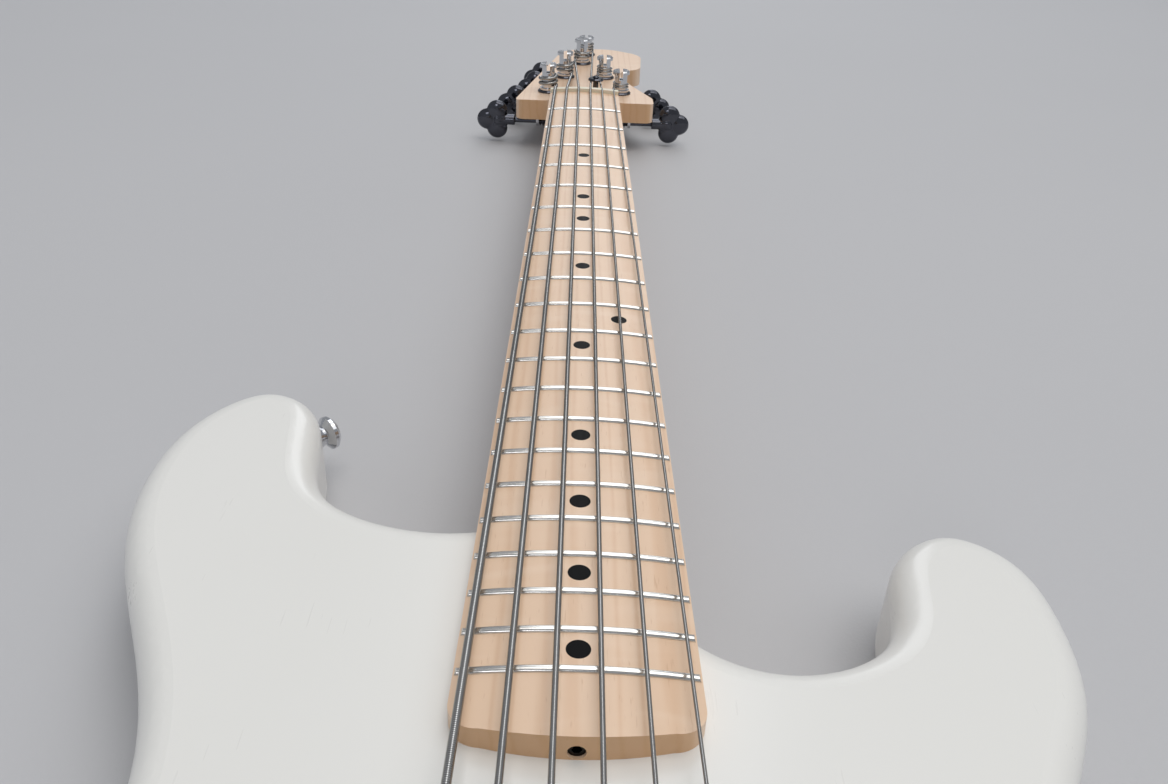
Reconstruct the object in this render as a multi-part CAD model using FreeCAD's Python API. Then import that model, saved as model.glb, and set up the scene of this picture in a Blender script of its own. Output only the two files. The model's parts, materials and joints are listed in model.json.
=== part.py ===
import FreeCAD, Part
import math
import os

from FreeCAD import Vector

# A six-string electric bass guitar lying on its back, in millimetres. The origin is on the flat back of the
# body, under the saddle line, on the middle line of the neck. +X is the treble side, +Y points to the
# headstock, +Z is the front of the instrument.

OVERRUN = 2.0

# Scale, strings and their spacing
SCALE_LENGTH = 864.0
FRET_COUNT = 21
STRING_DIAMETERS = (2.67, 2.16, 1.9, 1.65, 1.4, 1.15)
NUT_SPREAD = 46.5
SADDLE_SPREAD = 68.5
ACTION_AT_NUT = 1.4
ACTION_AT_SADDLE = 5.6
STRING_BEND = 9.0
STRING_ROOM = 0.2
COIL_ROOM = 0.35
COIL_GAP = 0.75
COIL_TURNS = 2.25
COIL_LEAD_IN = 5.0
COIL_RISE_SHARE = 1.15

# Neck
NUT_WIDTH = 54.0
HEEL_WIDTH = 70.0
CAMBER_RADIUS = 241.0
LAST_FRET_TO_END = 23.0
NECK_END_BULGE = 3.0
NECK_END_CORNER = 9.0
SHAFT_DEPTH_AT_NUT = 21.0
SHAFT_DEPTH_AT_HEEL = 23.5
SIDE_DEPTH = 7.5
SHAFT_FLAT_WIDTH = 7.0
HEEL_DEPTH = 25.0
HEEL_CORNER = 3.0
HEEL_BLOCK_LENGTH = 100.0
HEEL_RAMP_LENGTH = 44.0
NECK_RISE = 9.0
NUT_THICKNESS = 5.0
NUT_SEAT = 4.0
NUT_RISE = 2.6
NUT_SHELF = 2.5
FRET_WIDTH = 2.7
FRET_HEIGHT = 1.2
FRET_INSET = 0.25
TANG_WIDTH = 0.7
TANG_DEPTH = 1.8
FRET_BEVEL_SHARE = 0.5
DOT_DIAMETER = 7.3
DOT_DEPTH = 2.0
SIDE_DOT_DIAMETER = 2.2
SIDE_DOT_DROP = 4.6
DOT_FRETS = (4, 6, 7, 9, 12, 15, 17, 19, 21)
OFFSET_DOT_FRET = 11
OFFSET_DOT_STRING = 5

# Truss rod
ROD_DIAMETER = 4.6
ROD_NUT_DIAMETER = 5.2
ROD_ROOM = 0.15
ROD_END_DROP = 6.2
ROD_MIDDLE_DROP = 12.0
ROD_NUT_LENGTH = 12.0
ROD_NUT_RECESS = 1.0
ROD_NUT_ROOM = 0.05
ROD_GAP = 0.3
ROD_HOLE_PAST = 1.5
ROD_KEY_WIDTH = 3.0
ROD_KEY_DEPTH = 5.0
ROD_STOP_BEFORE_NUT = 22.0
STRIP_WIDTH = 6.0
STRIP_START = 62.0

# Headstock and tuners
HEAD_LENGTH = 212.0
HEAD_HALF_WIDTH = 57.0
HEAD_DROP = 13.0
HEAD_THICKNESS = 15.0
HEAD_RAMP_BEFORE_NUT = 30.0
HEAD_START = 8.0
HEAD_CORNER = 0.6
WING_START = 16.0
WING_CORNER = 7.0
HEAD_OUTLINE_SHARES = ((-0.36, 0.955, 0.12), (0.4, 1.0, 0.14), (0.95, 0.9, 0.11), (0.9, 0.64, 0.075),
                       (0.56, 0.58, 0.06), (0.58, 0.45, 0.14), (1.0, 0.17, 0.05))
POST_SHARES = ((-0.53, 0.226), (-0.3, 0.462), (-0.045, 0.708), (0.024, 0.873), (0.31, 0.472),
               (0.535, 0.236))
POST_HEIGHTS = (23.0, 22.0, 22.0, 17.0, 18.5, 19.0)
KEY_SIDES = (-1, -1, -1, -1, 1, 1)
COIL_SIDES = (1, 1, -1, 1, -1, -1)
POST_RADIUS = 5.2
POST_FLANGE_RADIUS = 7.0
POST_FLANGE_THICKNESS = 1.4
POST_CAP_THICKNESS = 2.8
POST_CAP_ROUND = 0.9
POST_SHAFT_RADIUS = 4.4
POST_SLOT_WIDTH = 2.9
POST_SLOT_DEPTH = 7.5
POST_BORE_RADIUS = 1.6
POST_BORE_DEPTH = 12.0
RUNNING_ROOM = 0.05
BUSHING_RADIUS = 6.4
BUSHING_FLANGE_RADIUS = 8.6
BUSHING_FLANGE_THICKNESS = 1.8
BUSHING_DEPTH = 7.0
POST_END_ROOM = 0.25
PLATE_THICKNESS = 1.6
PLATE_BACK = 12.0
PLATE_FRONT = 15.5
PLATE_TIP_SIDE = 11.5
PLATE_NUT_SIDE = 18.5
PLATE_CORNER = 3.0
PLATE_SCREW_INSET = 3.0
GEAR_MODULE = 0.8
GEAR_TEETH = 20
GEAR_THICKNESS = 3.0
GEAR_STANDOFF = 3.6
GEAR_SCREW_RADIUS = 3.6
GEAR_SCREW_THICKNESS = 1.6
GEAR_SCREW_SLOT = 1.0
MESH_ROOM = 0.3
TOOTH_TIP_SHARE = 0.28
TOOTH_ROOT_SHARE = 0.44
THREAD_CREST_SHARE = 0.22
THREAD_ROOT_SHARE = 0.38
WORM_PITCH_RADIUS = 3.5
WORM_TURNS = 5
WORM_SHAFT_RADIUS = 2.2
EAR_THICKNESS = 2.2
EAR_HALF_WIDTH = 4.2
EAR_ROOM = 0.3
KEY_START = 27.0
KEY_LOBE_RADIUS = 8.6
KEY_SPREAD = 7.2
KEY_REACH = 13.5
KEY_THICKNESS = 5.2
KEY_EDGE_ROUND = 1.6
KEY_TIP_SHARE = 0.6
KEY_COLLAR_RADIUS = 4.4
KEY_COLLAR_LENGTH = 8.0
RETAINER_RADIUS = 6.2
RETAINER_THICKNESS = 2.0
RETAINER_STEM_RADIUS = 2.2
RETAINER_PLACE = 31.0
RETAINER_ROOM = 0.45
SMALL_SCREW_RADIUS = 1.2
SMALL_SCREW_HEAD_RADIUS = 2.4
SMALL_SCREW_HEAD_HEIGHT = 1.3
SMALL_SCREW_LENGTH = 9.0
SLOT_SHARE = 0.25
SCREW_CROWN_SHARE = 0.7
CROSS_ARM_SHARE = 0.6

# Body
BODY_LENGTH = 511.0
BODY_WIDTH = 337.0
BODY_THICKNESS = 44.0
BODY_TAIL = 93.0
BODY_EDGE_RADIUS = 11.0
BODY_OUTLINE_SHARES = ((-0.059, 0.846), (-0.178, 0.834), (-0.276, 0.872), (-0.303, 0.935), (-0.332, 0.986),
                       (-0.38, 1.0), (-0.444, 0.969), (-0.475, 0.902), (-0.462, 0.823), (-0.405, 0.735),
                       (-0.352, 0.646), (-0.341, 0.574), (-0.4, 0.397), (-0.484, 0.221), (-0.35, 0.053),
                       (0.0, 0.0), (0.371, 0.061), (0.51, 0.241), (0.425, 0.41), (0.36, 0.53),
                       (0.386, 0.618), (0.447, 0.697), (0.463, 0.763), (0.443, 0.82), (0.38, 0.843),
                       (0.32, 0.813), (0.291, 0.746), (0.202, 0.714), (0.089, 0.75))
HORN_POINT = 4
TAIL_POINT = 15
JACK_POINT = 17
NECK_SCREW_SHARES = ((-0.29, 0.16), (0.29, 0.16), (-0.29, 0.68), (0.27, 0.4))
NECK_SCREW_RADIUS = 2.4
NECK_SCREW_HEAD_RADIUS = 4.4
NECK_SCREW_HEAD_HEIGHT = 2.6
NECK_SCREW_BITE = 16.0
FERRULE_RADIUS = 7.5
FERRULE_HEIGHT = 5.0
FERRULE_RECESS = 3.2
FERRULE_ROOM = 0.2

# Bridge
BRIDGE_WIDTH = 96.0
BRIDGE_REAR = 33.0
BRIDGE_FRONT = 26.0
BRIDGE_CORNER = 4.0
BRIDGE_PLATE_THICKNESS = 2.2
BRIDGE_WALL_THICKNESS = 3.6
BRIDGE_WALL_HEIGHT = 14.5
BALL_RADIUS = 2.8
BALL_ROOM = 0.1
SADDLE_WIDTH = 12.9
SADDLE_BACK = 7.0
SADDLE_FRONT = 7.0
SADDLE_CLEARANCE = 0.9
SADDLE_LIP = 0.5
SADDLE_FALL = 2.6
SADDLE_CREST_SHARES = (-0.25, 0.33)
SADDLE_TRAVEL = 8.0
INTONATION_RADIUS = 1.5
INTONATION_HEAD_RADIUS = 2.4
INTONATION_HEAD_LENGTH = 2.4
INTONATION_RISE = 3.5
INTONATION_COLLAR_LENGTH = 1.0
INTONATION_PAST_SADDLE = 2.0
SLIDE_ROOM = 0.08
HEIGHT_SCREW_RADIUS = 1.4
HEIGHT_SCREW_SIDE = 4.3
HEIGHT_SCREW_PLACE = 4.0
HEIGHT_SCREW_SOCKET = 1.5
HEIGHT_SCREW_TOP = 0.5
BRIDGE_SCREW_SHARES = ((-0.43, 0.81), (0.43, 0.81), (0.0, 0.81), (-0.285, -0.55), (0.285, -0.55))
BODY_SCREW_RADIUS = 1.7
BODY_SCREW_HEAD_RADIUS = 3.2
BODY_SCREW_HEAD_HEIGHT = 1.5
BODY_SCREW_LENGTH = 20.0

# Pickups
PICKUP_LENGTH = 106.0
PICKUP_WIDTH = 38.0
PICKUP_HEIGHT = 21.0
PICKUP_CORNER = 6.0
PICKUP_EDGE_ROUND = 1.5
PICKUP_RISE = 6.0
PICKUP_PLACE_SHARES = (0.19, 0.078)
PICKUP_WALL = 2.2
PICKUP_END_WALL = 12.0
POLE_RADIUS = 2.3
POLE_ROW = 7.6
POLE_RISE = 0.4
COIL_HEIGHT = 13.0
COIL_HALF_WIDTH = 6.4
COIL_END_SHARE = 0.9
ROUTE_ROOM = 0.8
ROUTE_DEPTH = 22.0
PICKUP_SCREW_INSET = 6.0
PICKUP_SCREW_RADIUS = 1.5
PICKUP_SCREW_HEAD_RADIUS = 2.9
PICKUP_SCREW_HEAD_HEIGHT = 1.4
PICKUP_SCREW_LENGTH = 34.0

# Controls, jack and wiring
KNOB_SHARES = ((0.262, 0.115), (0.35, 0.176), (0.39, 0.264))
KNOB_RADIUS = 9.5
KNOB_HEIGHT = 16.0
KNOB_GAP = 0.9
KNOB_ROUND = 2.0
KNOB_FLUTES = 30
KNOB_FLUTE_DEPTH = 0.5
KNOB_SKIRT = 9.0
KNOB_BORE_DEPTH = 12.5
KNOB_RECESS_RADIUS = 7.9
KNOB_RECESS_DEPTH = 4.6
KNOB_POINTER_WIDTH = 1.0
KNOB_POINTER_DEPTH = 0.5
GRUB_RADIUS = 1.3
GRUB_HEIGHT = 8.4
GRUB_SOCKET_RADIUS = 0.7
POT_SHAFT_RADIUS = 3.0
POT_BUSHING_RADIUS = 4.7
POT_BUSHING_RISE = 3.4
POT_NUT_WIDTH = 12.0
POT_NUT_HEIGHT = 2.2
POT_WASHER_RADIUS = 7.4
POT_WASHER_THICKNESS = 0.6
POT_CAN_RADIUS = 12.0
POT_CAN_HEIGHT = 9.0
TOP_SKIN = 6.5
CAVITY_SHARES = ((0.175, 0.085), (0.325, 0.09), (0.415, 0.155), (0.452, 0.235), (0.425, 0.315), (0.34, 0.315),
                 (0.305, 0.235), (0.175, 0.16))
CAVITY_CORNER = 9.0
COVER_LEDGE = 5.0
COVER_THICKNESS = 2.2
COVER_ROOM = 0.3
COVER_SCREW_CORNERS = (0, 1, 4, 5, 7)
COVER_BOSS_RADIUS = 4.5
JACK_RADIUS = 6.2
JACK_LENGTH = 34.0
JACK_FLANGE_RADIUS = 10.0
JACK_FLANGE_THICKNESS = 2.2
JACK_SEAT = 1.2
JACK_BORE_RADIUS = 3.2
JACK_BORE_LENGTH = 30.0
BUTTON_BASE_RADIUS = 5.2
BUTTON_WAIST_RADIUS = 4.2
BUTTON_HEAD_RADIUS = 7.2
BUTTON_LENGTH = 10.5
BUTTON_HEAD_THICKNESS = 3.0
BUTTON_BASE_THICKNESS = 1.6
BUTTON_CROWN_SHARE = 0.8
BUTTON_SEAT = 0.9
BUTTON_SEAT_ROOM = 0.5
CHANNEL_RADIUS = 3.6
LEAD_RADIUS = 1.3
LEAD_BEND = 5.0
LEAD_GAP = 0.4
LEAD_STOP = 0.8
JACK_LEAD_RUN = 12.0
CAPACITOR_LENGTH = 12.0
CAPACITOR_WIDTH = 4.0
CAPACITOR_HEIGHT = 8.0

# Places worked out from the sizes above
UP = Vector(0, 0, 1)
ALONG = Vector(0, 1, 0)
ACROSS = Vector(1, 0, 0)
STRING_COUNT = len(STRING_DIAMETERS)
NUT_Y = SCALE_LENGTH
CROWN_Z = BODY_THICKNESS + NECK_RISE
NECK_END_Y = SCALE_LENGTH * 2 ** (-FRET_COUNT / 12) - LAST_FRET_TO_END
HEEL_END_Y = NECK_END_Y + HEEL_BLOCK_LENGTH
HEEL_FLOOR_Z = CROWN_Z - HEEL_DEPTH
HEAD_FACE_Z = CROWN_Z - HEAD_DROP
HEAD_BACK_Z = HEAD_FACE_Z - HEAD_THICKNESS
PLATE_TOP_Z = BODY_THICKNESS + BRIDGE_PLATE_THICKNESS
INTONATION_Z = PLATE_TOP_Z + INTONATION_RISE
BALL_Z = INTONATION_Z + INTONATION_HEAD_RADIUS + BALL_RADIUS + BALL_ROOM
BALL_Y = -BRIDGE_REAR - BALL_RADIUS - BALL_ROOM
SADDLE_BOTTOM_Z = PLATE_TOP_Z + SADDLE_CLEARANCE
GEAR_PITCH_RADIUS = GEAR_MODULE * GEAR_TEETH / 2
WORM_PITCH = GEAR_MODULE * math.pi
WORM_OFFSET = GEAR_PITCH_RADIUS + WORM_PITCH_RADIUS
GEAR_TOP_Z = HEAD_BACK_Z - PLATE_THICKNESS - GEAR_STANDOFF
WORM_Z = GEAR_TOP_Z - GEAR_THICKNESS / 2
PLATE_BACK_Z = HEAD_BACK_Z - PLATE_THICKNESS
CAVITY_TOP_Z = BODY_THICKNESS - TOP_SKIN
ROUTE_FLOOR_Z = BODY_THICKNESS - ROUTE_DEPTH
CHANNEL_Z = ROUTE_FLOOR_Z + CHANNEL_RADIUS
MIDDLE_Z = BODY_THICKNESS / 2


def box(low, high):
    size = high - low
    return Part.makeBox(size.x, size.y, size.z, low)


def cylinder(radius, base, axis, length):
    return Part.makeCylinder(radius, length, base, axis)


def turned(profile, base, axis):
    """A turned piece: profile points are (radius, height along the axis) from base."""
    points = [Vector(radius, 0, height) for radius, height in profile]
    solid = Part.Face(Part.makePolygon(points + points[:1])).revolve(Vector(), UP, 360)
    solid.Placement = FreeCAD.Placement(base, FreeCAD.Rotation(UP, axis))
    return solid


def prism(wire, height):
    return Part.Face(wire).extrude(UP * height)


def rounded_outline(corners, z):
    """A closed wire of straight runs with an arc at each corner (x, y, radius)."""
    points = [Vector(x, y, z) for x, y, radius in corners]
    starts, ends, arcs = [], [], []
    for index, (x, y, radius) in enumerate(corners):
        here = points[index]
        arriving = (here - points[index - 1]).normalize()
        leaving = (points[(index + 1) % len(points)] - here).normalize()
        turn = arriving.getAngle(leaving)
        setback = radius * math.tan(turn / 2)
        starts.append(here - arriving * setback)
        ends.append(here + leaving * setback)
        if setback:
            inward = (leaving - arriving).normalize()
            middle = here + inward * (radius / math.cos(turn / 2) - radius)
            arcs.append(Part.Arc(starts[-1], middle, ends[-1]).toShape())
        else:
            arcs.append(None)
    edges = []
    for index, arc in enumerate(arcs):
        if arc:
            edges.append(arc)
        following = starts[(index + 1) % len(starts)]
        if (following - ends[index]).Length > Part.Precision.confusion():
            edges.append(Part.makeLine(ends[index], following))
    return Part.Wire(edges)


def slab(low, high, corner):
    """A box with rounded upright edges."""
    corners = [(low.x, low.y, corner), (high.x, low.y, corner), (high.x, high.y, corner),
               (low.x, high.y, corner)]
    return prism(rounded_outline(corners, low.z), high.z - low.z)


def hexagon(middle, radius, first, second):
    """A six-sided face around middle, in the plane of two directions."""
    angles = [math.pi / 3 * side for side in range(7)]
    corners = [middle + (first * math.cos(angle) + second * math.sin(angle)) * radius for angle in angles]
    return Part.Face(Part.makePolygon(corners))


def arc_from(start, heading, end):
    """The arc that leaves start along heading and reaches end."""
    chord = end - start
    angle = heading.getAngle(chord)
    side = heading - chord * (heading.dot(chord) / chord.dot(chord))
    if side.Length < Part.Precision.confusion():
        return Part.makeLine(start, end)
    middle = start + chord * 0.5 + side.normalize() * (chord.Length / 2 * math.tan(angle / 2))
    return Part.Arc(start, middle, end).toShape()


def biarc(start, heading, end, end_heading):
    """Two arcs that join start to end and meet both headings."""
    gap = end - start
    total = heading + end_heading
    spread = 2 * (1 - heading.dot(end_heading))
    reach = (-gap.dot(total) + math.sqrt(gap.dot(total) ** 2 + spread * gap.dot(gap))) / spread
    joint = (start + end + (heading - end_heading) * reach) * 0.5
    back = arc_from(end, end_heading * -1, joint)
    back.reverse()
    return [arc_from(start, heading, joint), back]


def rounded_path(points, bend):
    """Straight runs through the points, joined by arcs of one bend radius."""
    edges = []
    last = points[0]
    for before, here, after in zip(points, points[1:], points[2:]):
        arriving = (here - before).normalize()
        leaving = (after - here).normalize()
        setback = bend * math.tan(arriving.getAngle(leaving) / 2)
        start = here - arriving * setback
        end = here + leaving * setback
        edges.append(Part.makeLine(last, start))
        edges.append(arc_from(start, arriving, end))
        last = end
    edges.append(Part.makeLine(last, points[-1]))
    return edges


def tube(edges, radius):
    path = Part.Wire(edges)
    heading = edges[0].tangentAt(edges[0].FirstParameter)
    ring = Part.Wire(Part.makeCircle(radius, edges[0].Vertexes[0].Point, heading))
    return path.makePipeShell([ring], True, False)


def compound(solids):
    return Part.makeCompound(solids)


def fret_y(number):
    return SCALE_LENGTH * 2 ** (-number / 12)


def neck_half_width(y):
    taper = (HEEL_WIDTH - NUT_WIDTH) / (NUT_Y - NECK_END_Y)
    return (NUT_WIDTH + taper * (NUT_Y - y)) / 2


def camber_drop(x):
    return CAMBER_RADIUS - math.sqrt(CAMBER_RADIUS ** 2 - x ** 2)


def string_x(index, y):
    share = index / (STRING_COUNT - 1) - 0.5
    return share * (SADDLE_SPREAD + (NUT_SPREAD - SADDLE_SPREAD) * y / NUT_Y)


def saddle_point(index):
    x = string_x(index, 0)
    z = CROWN_Z + ACTION_AT_SADDLE - camber_drop(x) + STRING_DIAMETERS[index] / 2
    return Vector(x, 0, z)


def nut_point(index):
    x = string_x(index, NUT_Y)
    z = CROWN_Z + ACTION_AT_NUT - camber_drop(x) + STRING_DIAMETERS[index] / 2
    return Vector(x, NUT_Y + NUT_THICKNESS / 2, z)


def string_at(index, y):
    """The middle of a string between nut and saddle."""
    start, end = saddle_point(index), nut_point(index)
    return start + (end - start) * ((y - start.y) / (end.y - start.y))


def post_place(index):
    share_x, share_y = POST_SHARES[index]
    return Vector(share_x * HEAD_HALF_WIDTH, NUT_Y + share_y * HEAD_LENGTH, HEAD_FACE_Z)


def body_point(share_x, share_y, z):
    return Vector(share_x * BODY_WIDTH, share_y * BODY_LENGTH - BODY_TAIL, z)


def outline_curve(z):
    curve = Part.BSplineCurve()
    curve.interpolate([body_point(x, y, z) for x, y in BODY_OUTLINE_SHARES], PeriodicFlag=True)
    return curve


def edge_place(number):
    """A point halfway up the body's edge and the direction that leaves the body there."""
    curve = outline_curve(MIDDLE_Z)
    point = body_point(*BODY_OUTLINE_SHARES[number], MIDDLE_Z)
    tangent = curve.tangent(curve.parameter(point))[0]
    return point, tangent.cross(UP)


# Neck pieces


def neck_section(y, depth, corner_width, corner_depth):
    half = neck_half_width(y)
    low = CROWN_Z - depth
    quarter = [math.radians(angle) for angle in range(0, 91, 15)]
    right = [Vector(half - corner_width * (1 - math.cos(a)), y, low + corner_depth * (1 - math.sin(a)))
             for a in quarter]
    left = [Vector(-p.x, p.y, p.z) for p in reversed(right)]
    curves = []
    for points in (right, left):
        curve = Part.BSplineCurve()
        curve.interpolate(points)
        curves.append(curve.toShape())
    top_right = Vector(half, y, CROWN_Z)
    top_left = Vector(-half, y, CROWN_Z)
    return Part.Wire([Part.makeLine(top_left, top_right), Part.makeLine(top_right, right[0]), curves[0],
                      Part.makeLine(right[-1], left[0]), curves[1], Part.makeLine(left[-1], top_left)])


def shaft_station(y):
    """The section of the shaft at y, passing smoothly into the heel and into the headstock."""
    share = (y - HEEL_END_Y) / (NUT_Y - HEEL_END_Y)
    depth = SHAFT_DEPTH_AT_HEEL + (SHAFT_DEPTH_AT_NUT - SHAFT_DEPTH_AT_HEEL) * share
    corner_width = neck_half_width(y) - SHAFT_FLAT_WIDTH / 2
    heel = min(1, max(0, 1 - (y - HEEL_END_Y) / HEEL_RAMP_LENGTH))
    head = min(1, max(0, (y - NUT_Y + HEAD_RAMP_BEFORE_NUT) / (HEAD_RAMP_BEFORE_NUT + HEAD_START)))
    block = max(heel, head)
    smooth = block * block * (3 - 2 * block)
    target, corner = (HEEL_DEPTH, HEEL_CORNER) if heel > head else (HEAD_DROP + HEAD_THICKNESS, HEAD_CORNER)
    depth_here = depth + (target - depth) * smooth
    width_here = corner_width + (corner - corner_width) * smooth
    rise_here = (depth - SIDE_DEPTH) + (corner - depth + SIDE_DEPTH) * smooth
    return neck_section(y, depth_here, width_here, rise_here)


def shaft():
    heel_end = HEEL_END_Y + HEEL_RAMP_LENGTH
    head_start = NUT_Y - HEAD_RAMP_BEFORE_NUT
    head_end = NUT_Y + HEAD_START
    quarters = (0, 0.25, 0.5, 0.75, 1)
    places = [HEEL_END_Y + HEEL_RAMP_LENGTH * share for share in quarters]
    places += [heel_end + (head_start - heel_end) * share for share in quarters[1:-1]]
    places += [head_start + (head_end - head_start) * share for share in quarters]
    return Part.makeLoft([shaft_station(y) for y in places], True, False)


def heel_outline(z, end_y):
    """The plan of the heel: straight tapered sides, rounded corners and a slightly bulging end."""
    half = neck_half_width(NECK_END_Y)
    shoulder = NECK_END_Y + NECK_END_BULGE
    corner = NECK_END_CORNER
    bend = corner * (1 - math.sqrt(0.5))
    far = Vector(neck_half_width(end_y), end_y, z)
    side = Vector(half, shoulder + corner, z)
    turn = Vector(half - bend, shoulder + bend, z)
    end = Vector(half - corner, shoulder, z)
    middle = Vector(0, NECK_END_Y, z)
    left_far, left_side, left_turn, left_end = [Vector(-p.x, p.y, p.z) for p in (far, side, turn, end)]
    return Part.Wire([Part.makeLine(far, side),
                      Part.Arc(side, turn, end).toShape(),
                      Part.Arc(end, middle, left_end).toShape(),
                      Part.Arc(left_end, left_turn, left_side).toShape(),
                      Part.makeLine(left_side, left_far),
                      Part.makeLine(left_far, far)])


def head_block():
    start = neck_half_width(NUT_Y + HEAD_START)
    corners = [(start, NUT_Y + HEAD_START, 0), (start, NUT_Y + WING_START, WING_CORNER),
               (HEAD_HALF_WIDTH, NUT_Y + WING_START, WING_CORNER)]
    corners += [(x * HEAD_HALF_WIDTH, NUT_Y + y * HEAD_LENGTH, radius * HEAD_LENGTH)
                for x, y, radius in reversed(HEAD_OUTLINE_SHARES)]
    corners += [(-HEAD_HALF_WIDTH, NUT_Y + WING_START, WING_CORNER),
                (-start, NUT_Y + WING_START, WING_CORNER), (-start, NUT_Y + HEAD_START, 0)]
    return prism(rounded_outline(corners, HEAD_BACK_Z), HEAD_DROP + HEAD_THICKNESS)


def head_scoop():
    """What is taken off the headstock in front of its face, with a hollow behind the nut."""
    start = NUT_Y + NUT_THICKNESS + NUT_SHELF
    side = HEAD_HALF_WIDTH + OVERRUN
    far = NUT_Y + HEAD_LENGTH + OVERRUN
    hollow = HEAD_DROP * (1 - math.sqrt(0.5))
    top = CROWN_Z + OVERRUN
    low = Vector(-side, start, CROWN_Z)
    flat = Vector(-side, start + HEAD_DROP, HEAD_FACE_Z)
    middle = Vector(-side, start + hollow, HEAD_FACE_Z + hollow)
    corners = [Vector(-side, far, HEAD_FACE_Z), Vector(-side, far, top), Vector(-side, start, top)]
    edges = [Part.Arc(low, middle, flat).toShape(), Part.makeLine(flat, corners[0]),
             Part.makeLine(corners[0], corners[1]), Part.makeLine(corners[1], corners[2]),
             Part.makeLine(corners[2], low)]
    return Part.Face(Part.Wire(edges)).extrude(ACROSS * (2 * side))


def camber_cylinder(extra):
    start = Vector(0, NECK_END_Y - OVERRUN, CROWN_Z - CAMBER_RADIUS)
    return cylinder(CAMBER_RADIUS + extra, start, ALONG, NUT_Y + HEAD_LENGTH + OVERRUN - start.y + OVERRUN)


def neck_blank():
    heel = prism(heel_outline(HEEL_FLOOR_Z, HEEL_END_Y), HEEL_DEPTH)
    whole = heel.multiFuse([shaft(), head_block()])
    return whole.common(camber_cylinder(0)).cut(head_scoop()).removeSplitter()


def fret(number):
    y = fret_y(number)
    base = Vector(0, y - FRET_WIDTH / 2, CROWN_Z)
    crest = Vector(0, y, CROWN_Z + FRET_HEIGHT)
    end = Vector(0, y + FRET_WIDTH / 2, CROWN_Z)
    foot = CROWN_Z - TANG_DEPTH
    half_tang = TANG_WIDTH / 2
    corners = [end, Vector(0, y + half_tang, CROWN_Z), Vector(0, y + half_tang, foot),
               Vector(0, y - half_tang, foot), Vector(0, y - half_tang, CROWN_Z), base]
    face = Part.Face(Part.Wire([Part.Arc(base, crest, end).toShape(), Part.makePolygon(corners)]))
    reach = neck_half_width(y) - FRET_INSET
    angle = math.degrees(math.asin((reach + OVERRUN) / CAMBER_RADIUS))
    centre = Vector(0, y, CROWN_Z - CAMBER_RADIUS)
    face.rotate(centre, ALONG, -angle)
    strip = face.revolve(centre, ALONG, 2 * angle)
    edge = CROWN_Z - camber_drop(reach)
    top = CROWN_Z + FRET_HEIGHT + OVERRUN
    lean = (top - edge) * FRET_BEVEL_SHARE
    back = y - FRET_WIDTH
    low = foot - camber_drop(reach) - OVERRUN
    limits = [Vector(-reach, back, low), Vector(reach, back, low), Vector(reach, back, edge),
              Vector(reach - lean, back, top), Vector(lean - reach, back, top), Vector(-reach, back, edge)]
    prism_of_limits = Part.Face(Part.makePolygon(limits + limits[:1])).extrude(ALONG * (2 * FRET_WIDTH))
    return strip.common(prism_of_limits)


def position_markers(blank):
    solids = []
    radius = DOT_DIAMETER / 2
    places = [(number, 0) for number in DOT_FRETS]
    offset_y = (fret_y(OFFSET_DOT_FRET) + fret_y(OFFSET_DOT_FRET - 1)) / 2
    places.append((OFFSET_DOT_FRET, string_x(OFFSET_DOT_STRING - 1, offset_y)))
    for number, x in places:
        y = (fret_y(number) + fret_y(number - 1)) / 2
        low = CROWN_Z - camber_drop(x) - DOT_DEPTH
        face_dot = cylinder(radius, Vector(x, y, low), UP, DOT_DEPTH + OVERRUN)
        solids.append(face_dot.common(camber_cylinder(0)))
        half = neck_half_width(y)
        side = Vector(-half - OVERRUN, y, CROWN_Z - SIDE_DOT_DROP)
        dot = cylinder(SIDE_DOT_DIAMETER / 2, side, ACROSS, DOT_DEPTH + OVERRUN)
        solids.append(dot.common(blank))
    return compound(solids)


def nut_block():
    half = NUT_WIDTH / 2
    low = Vector(-half, NUT_Y, CROWN_Z - NUT_SEAT)
    high = Vector(half, NUT_Y + NUT_THICKNESS, CROWN_Z + NUT_RISE + OVERRUN)
    return box(low, high).common(camber_cylinder(NUT_RISE))


def nut_slot():
    half = NUT_WIDTH / 2 + OVERRUN
    low = Vector(-half, NUT_Y, CROWN_Z - NUT_SEAT)
    return box(low, Vector(half, NUT_Y + NUT_THICKNESS, CROWN_Z + NUT_RISE))


def nut_with_slots():
    block = nut_block()
    for index, diameter in enumerate(STRING_DIAMETERS):
        middle = nut_point(index)
        near = string_at(index, NUT_Y - OVERRUN)
        far = middle + string_headings(index)[0] * (NUT_THICKNESS + OVERRUN)
        way = rounded_path([near, middle, far], STRING_BEND)
        block = block.cut(tube(way, diameter / 2 + STRING_ROOM / 2))
        for end in (near, far):
            run = end - middle
            side = Vector(run.y, -run.x, 0).normalize() * diameter
            floor = [middle - side * 0.5, middle + side * 0.5, end + side * 0.5, end - side * 0.5]
            open_top = Part.Face(Part.makePolygon(floor + floor[:1])).extrude(UP * (NUT_RISE + OVERRUN))
            block = block.cut(open_top)
    return block


def rod_points():
    start_y = NECK_END_Y + ROD_NUT_RECESS + ROD_NUT_LENGTH + ROD_GAP
    end_y = NUT_Y - ROD_STOP_BEFORE_NUT
    start = Vector(0, start_y, CROWN_Z - ROD_END_DROP)
    middle = Vector(0, (start_y + end_y) / 2, CROWN_Z - ROD_MIDDLE_DROP)
    return start, middle, Vector(0, end_y, CROWN_Z - ROD_END_DROP)


def rod_curve():
    return Part.Arc(*rod_points())


def truss_rod(room):
    return tube([rod_curve().toShape()], ROD_DIAMETER / 2 + room)


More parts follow.
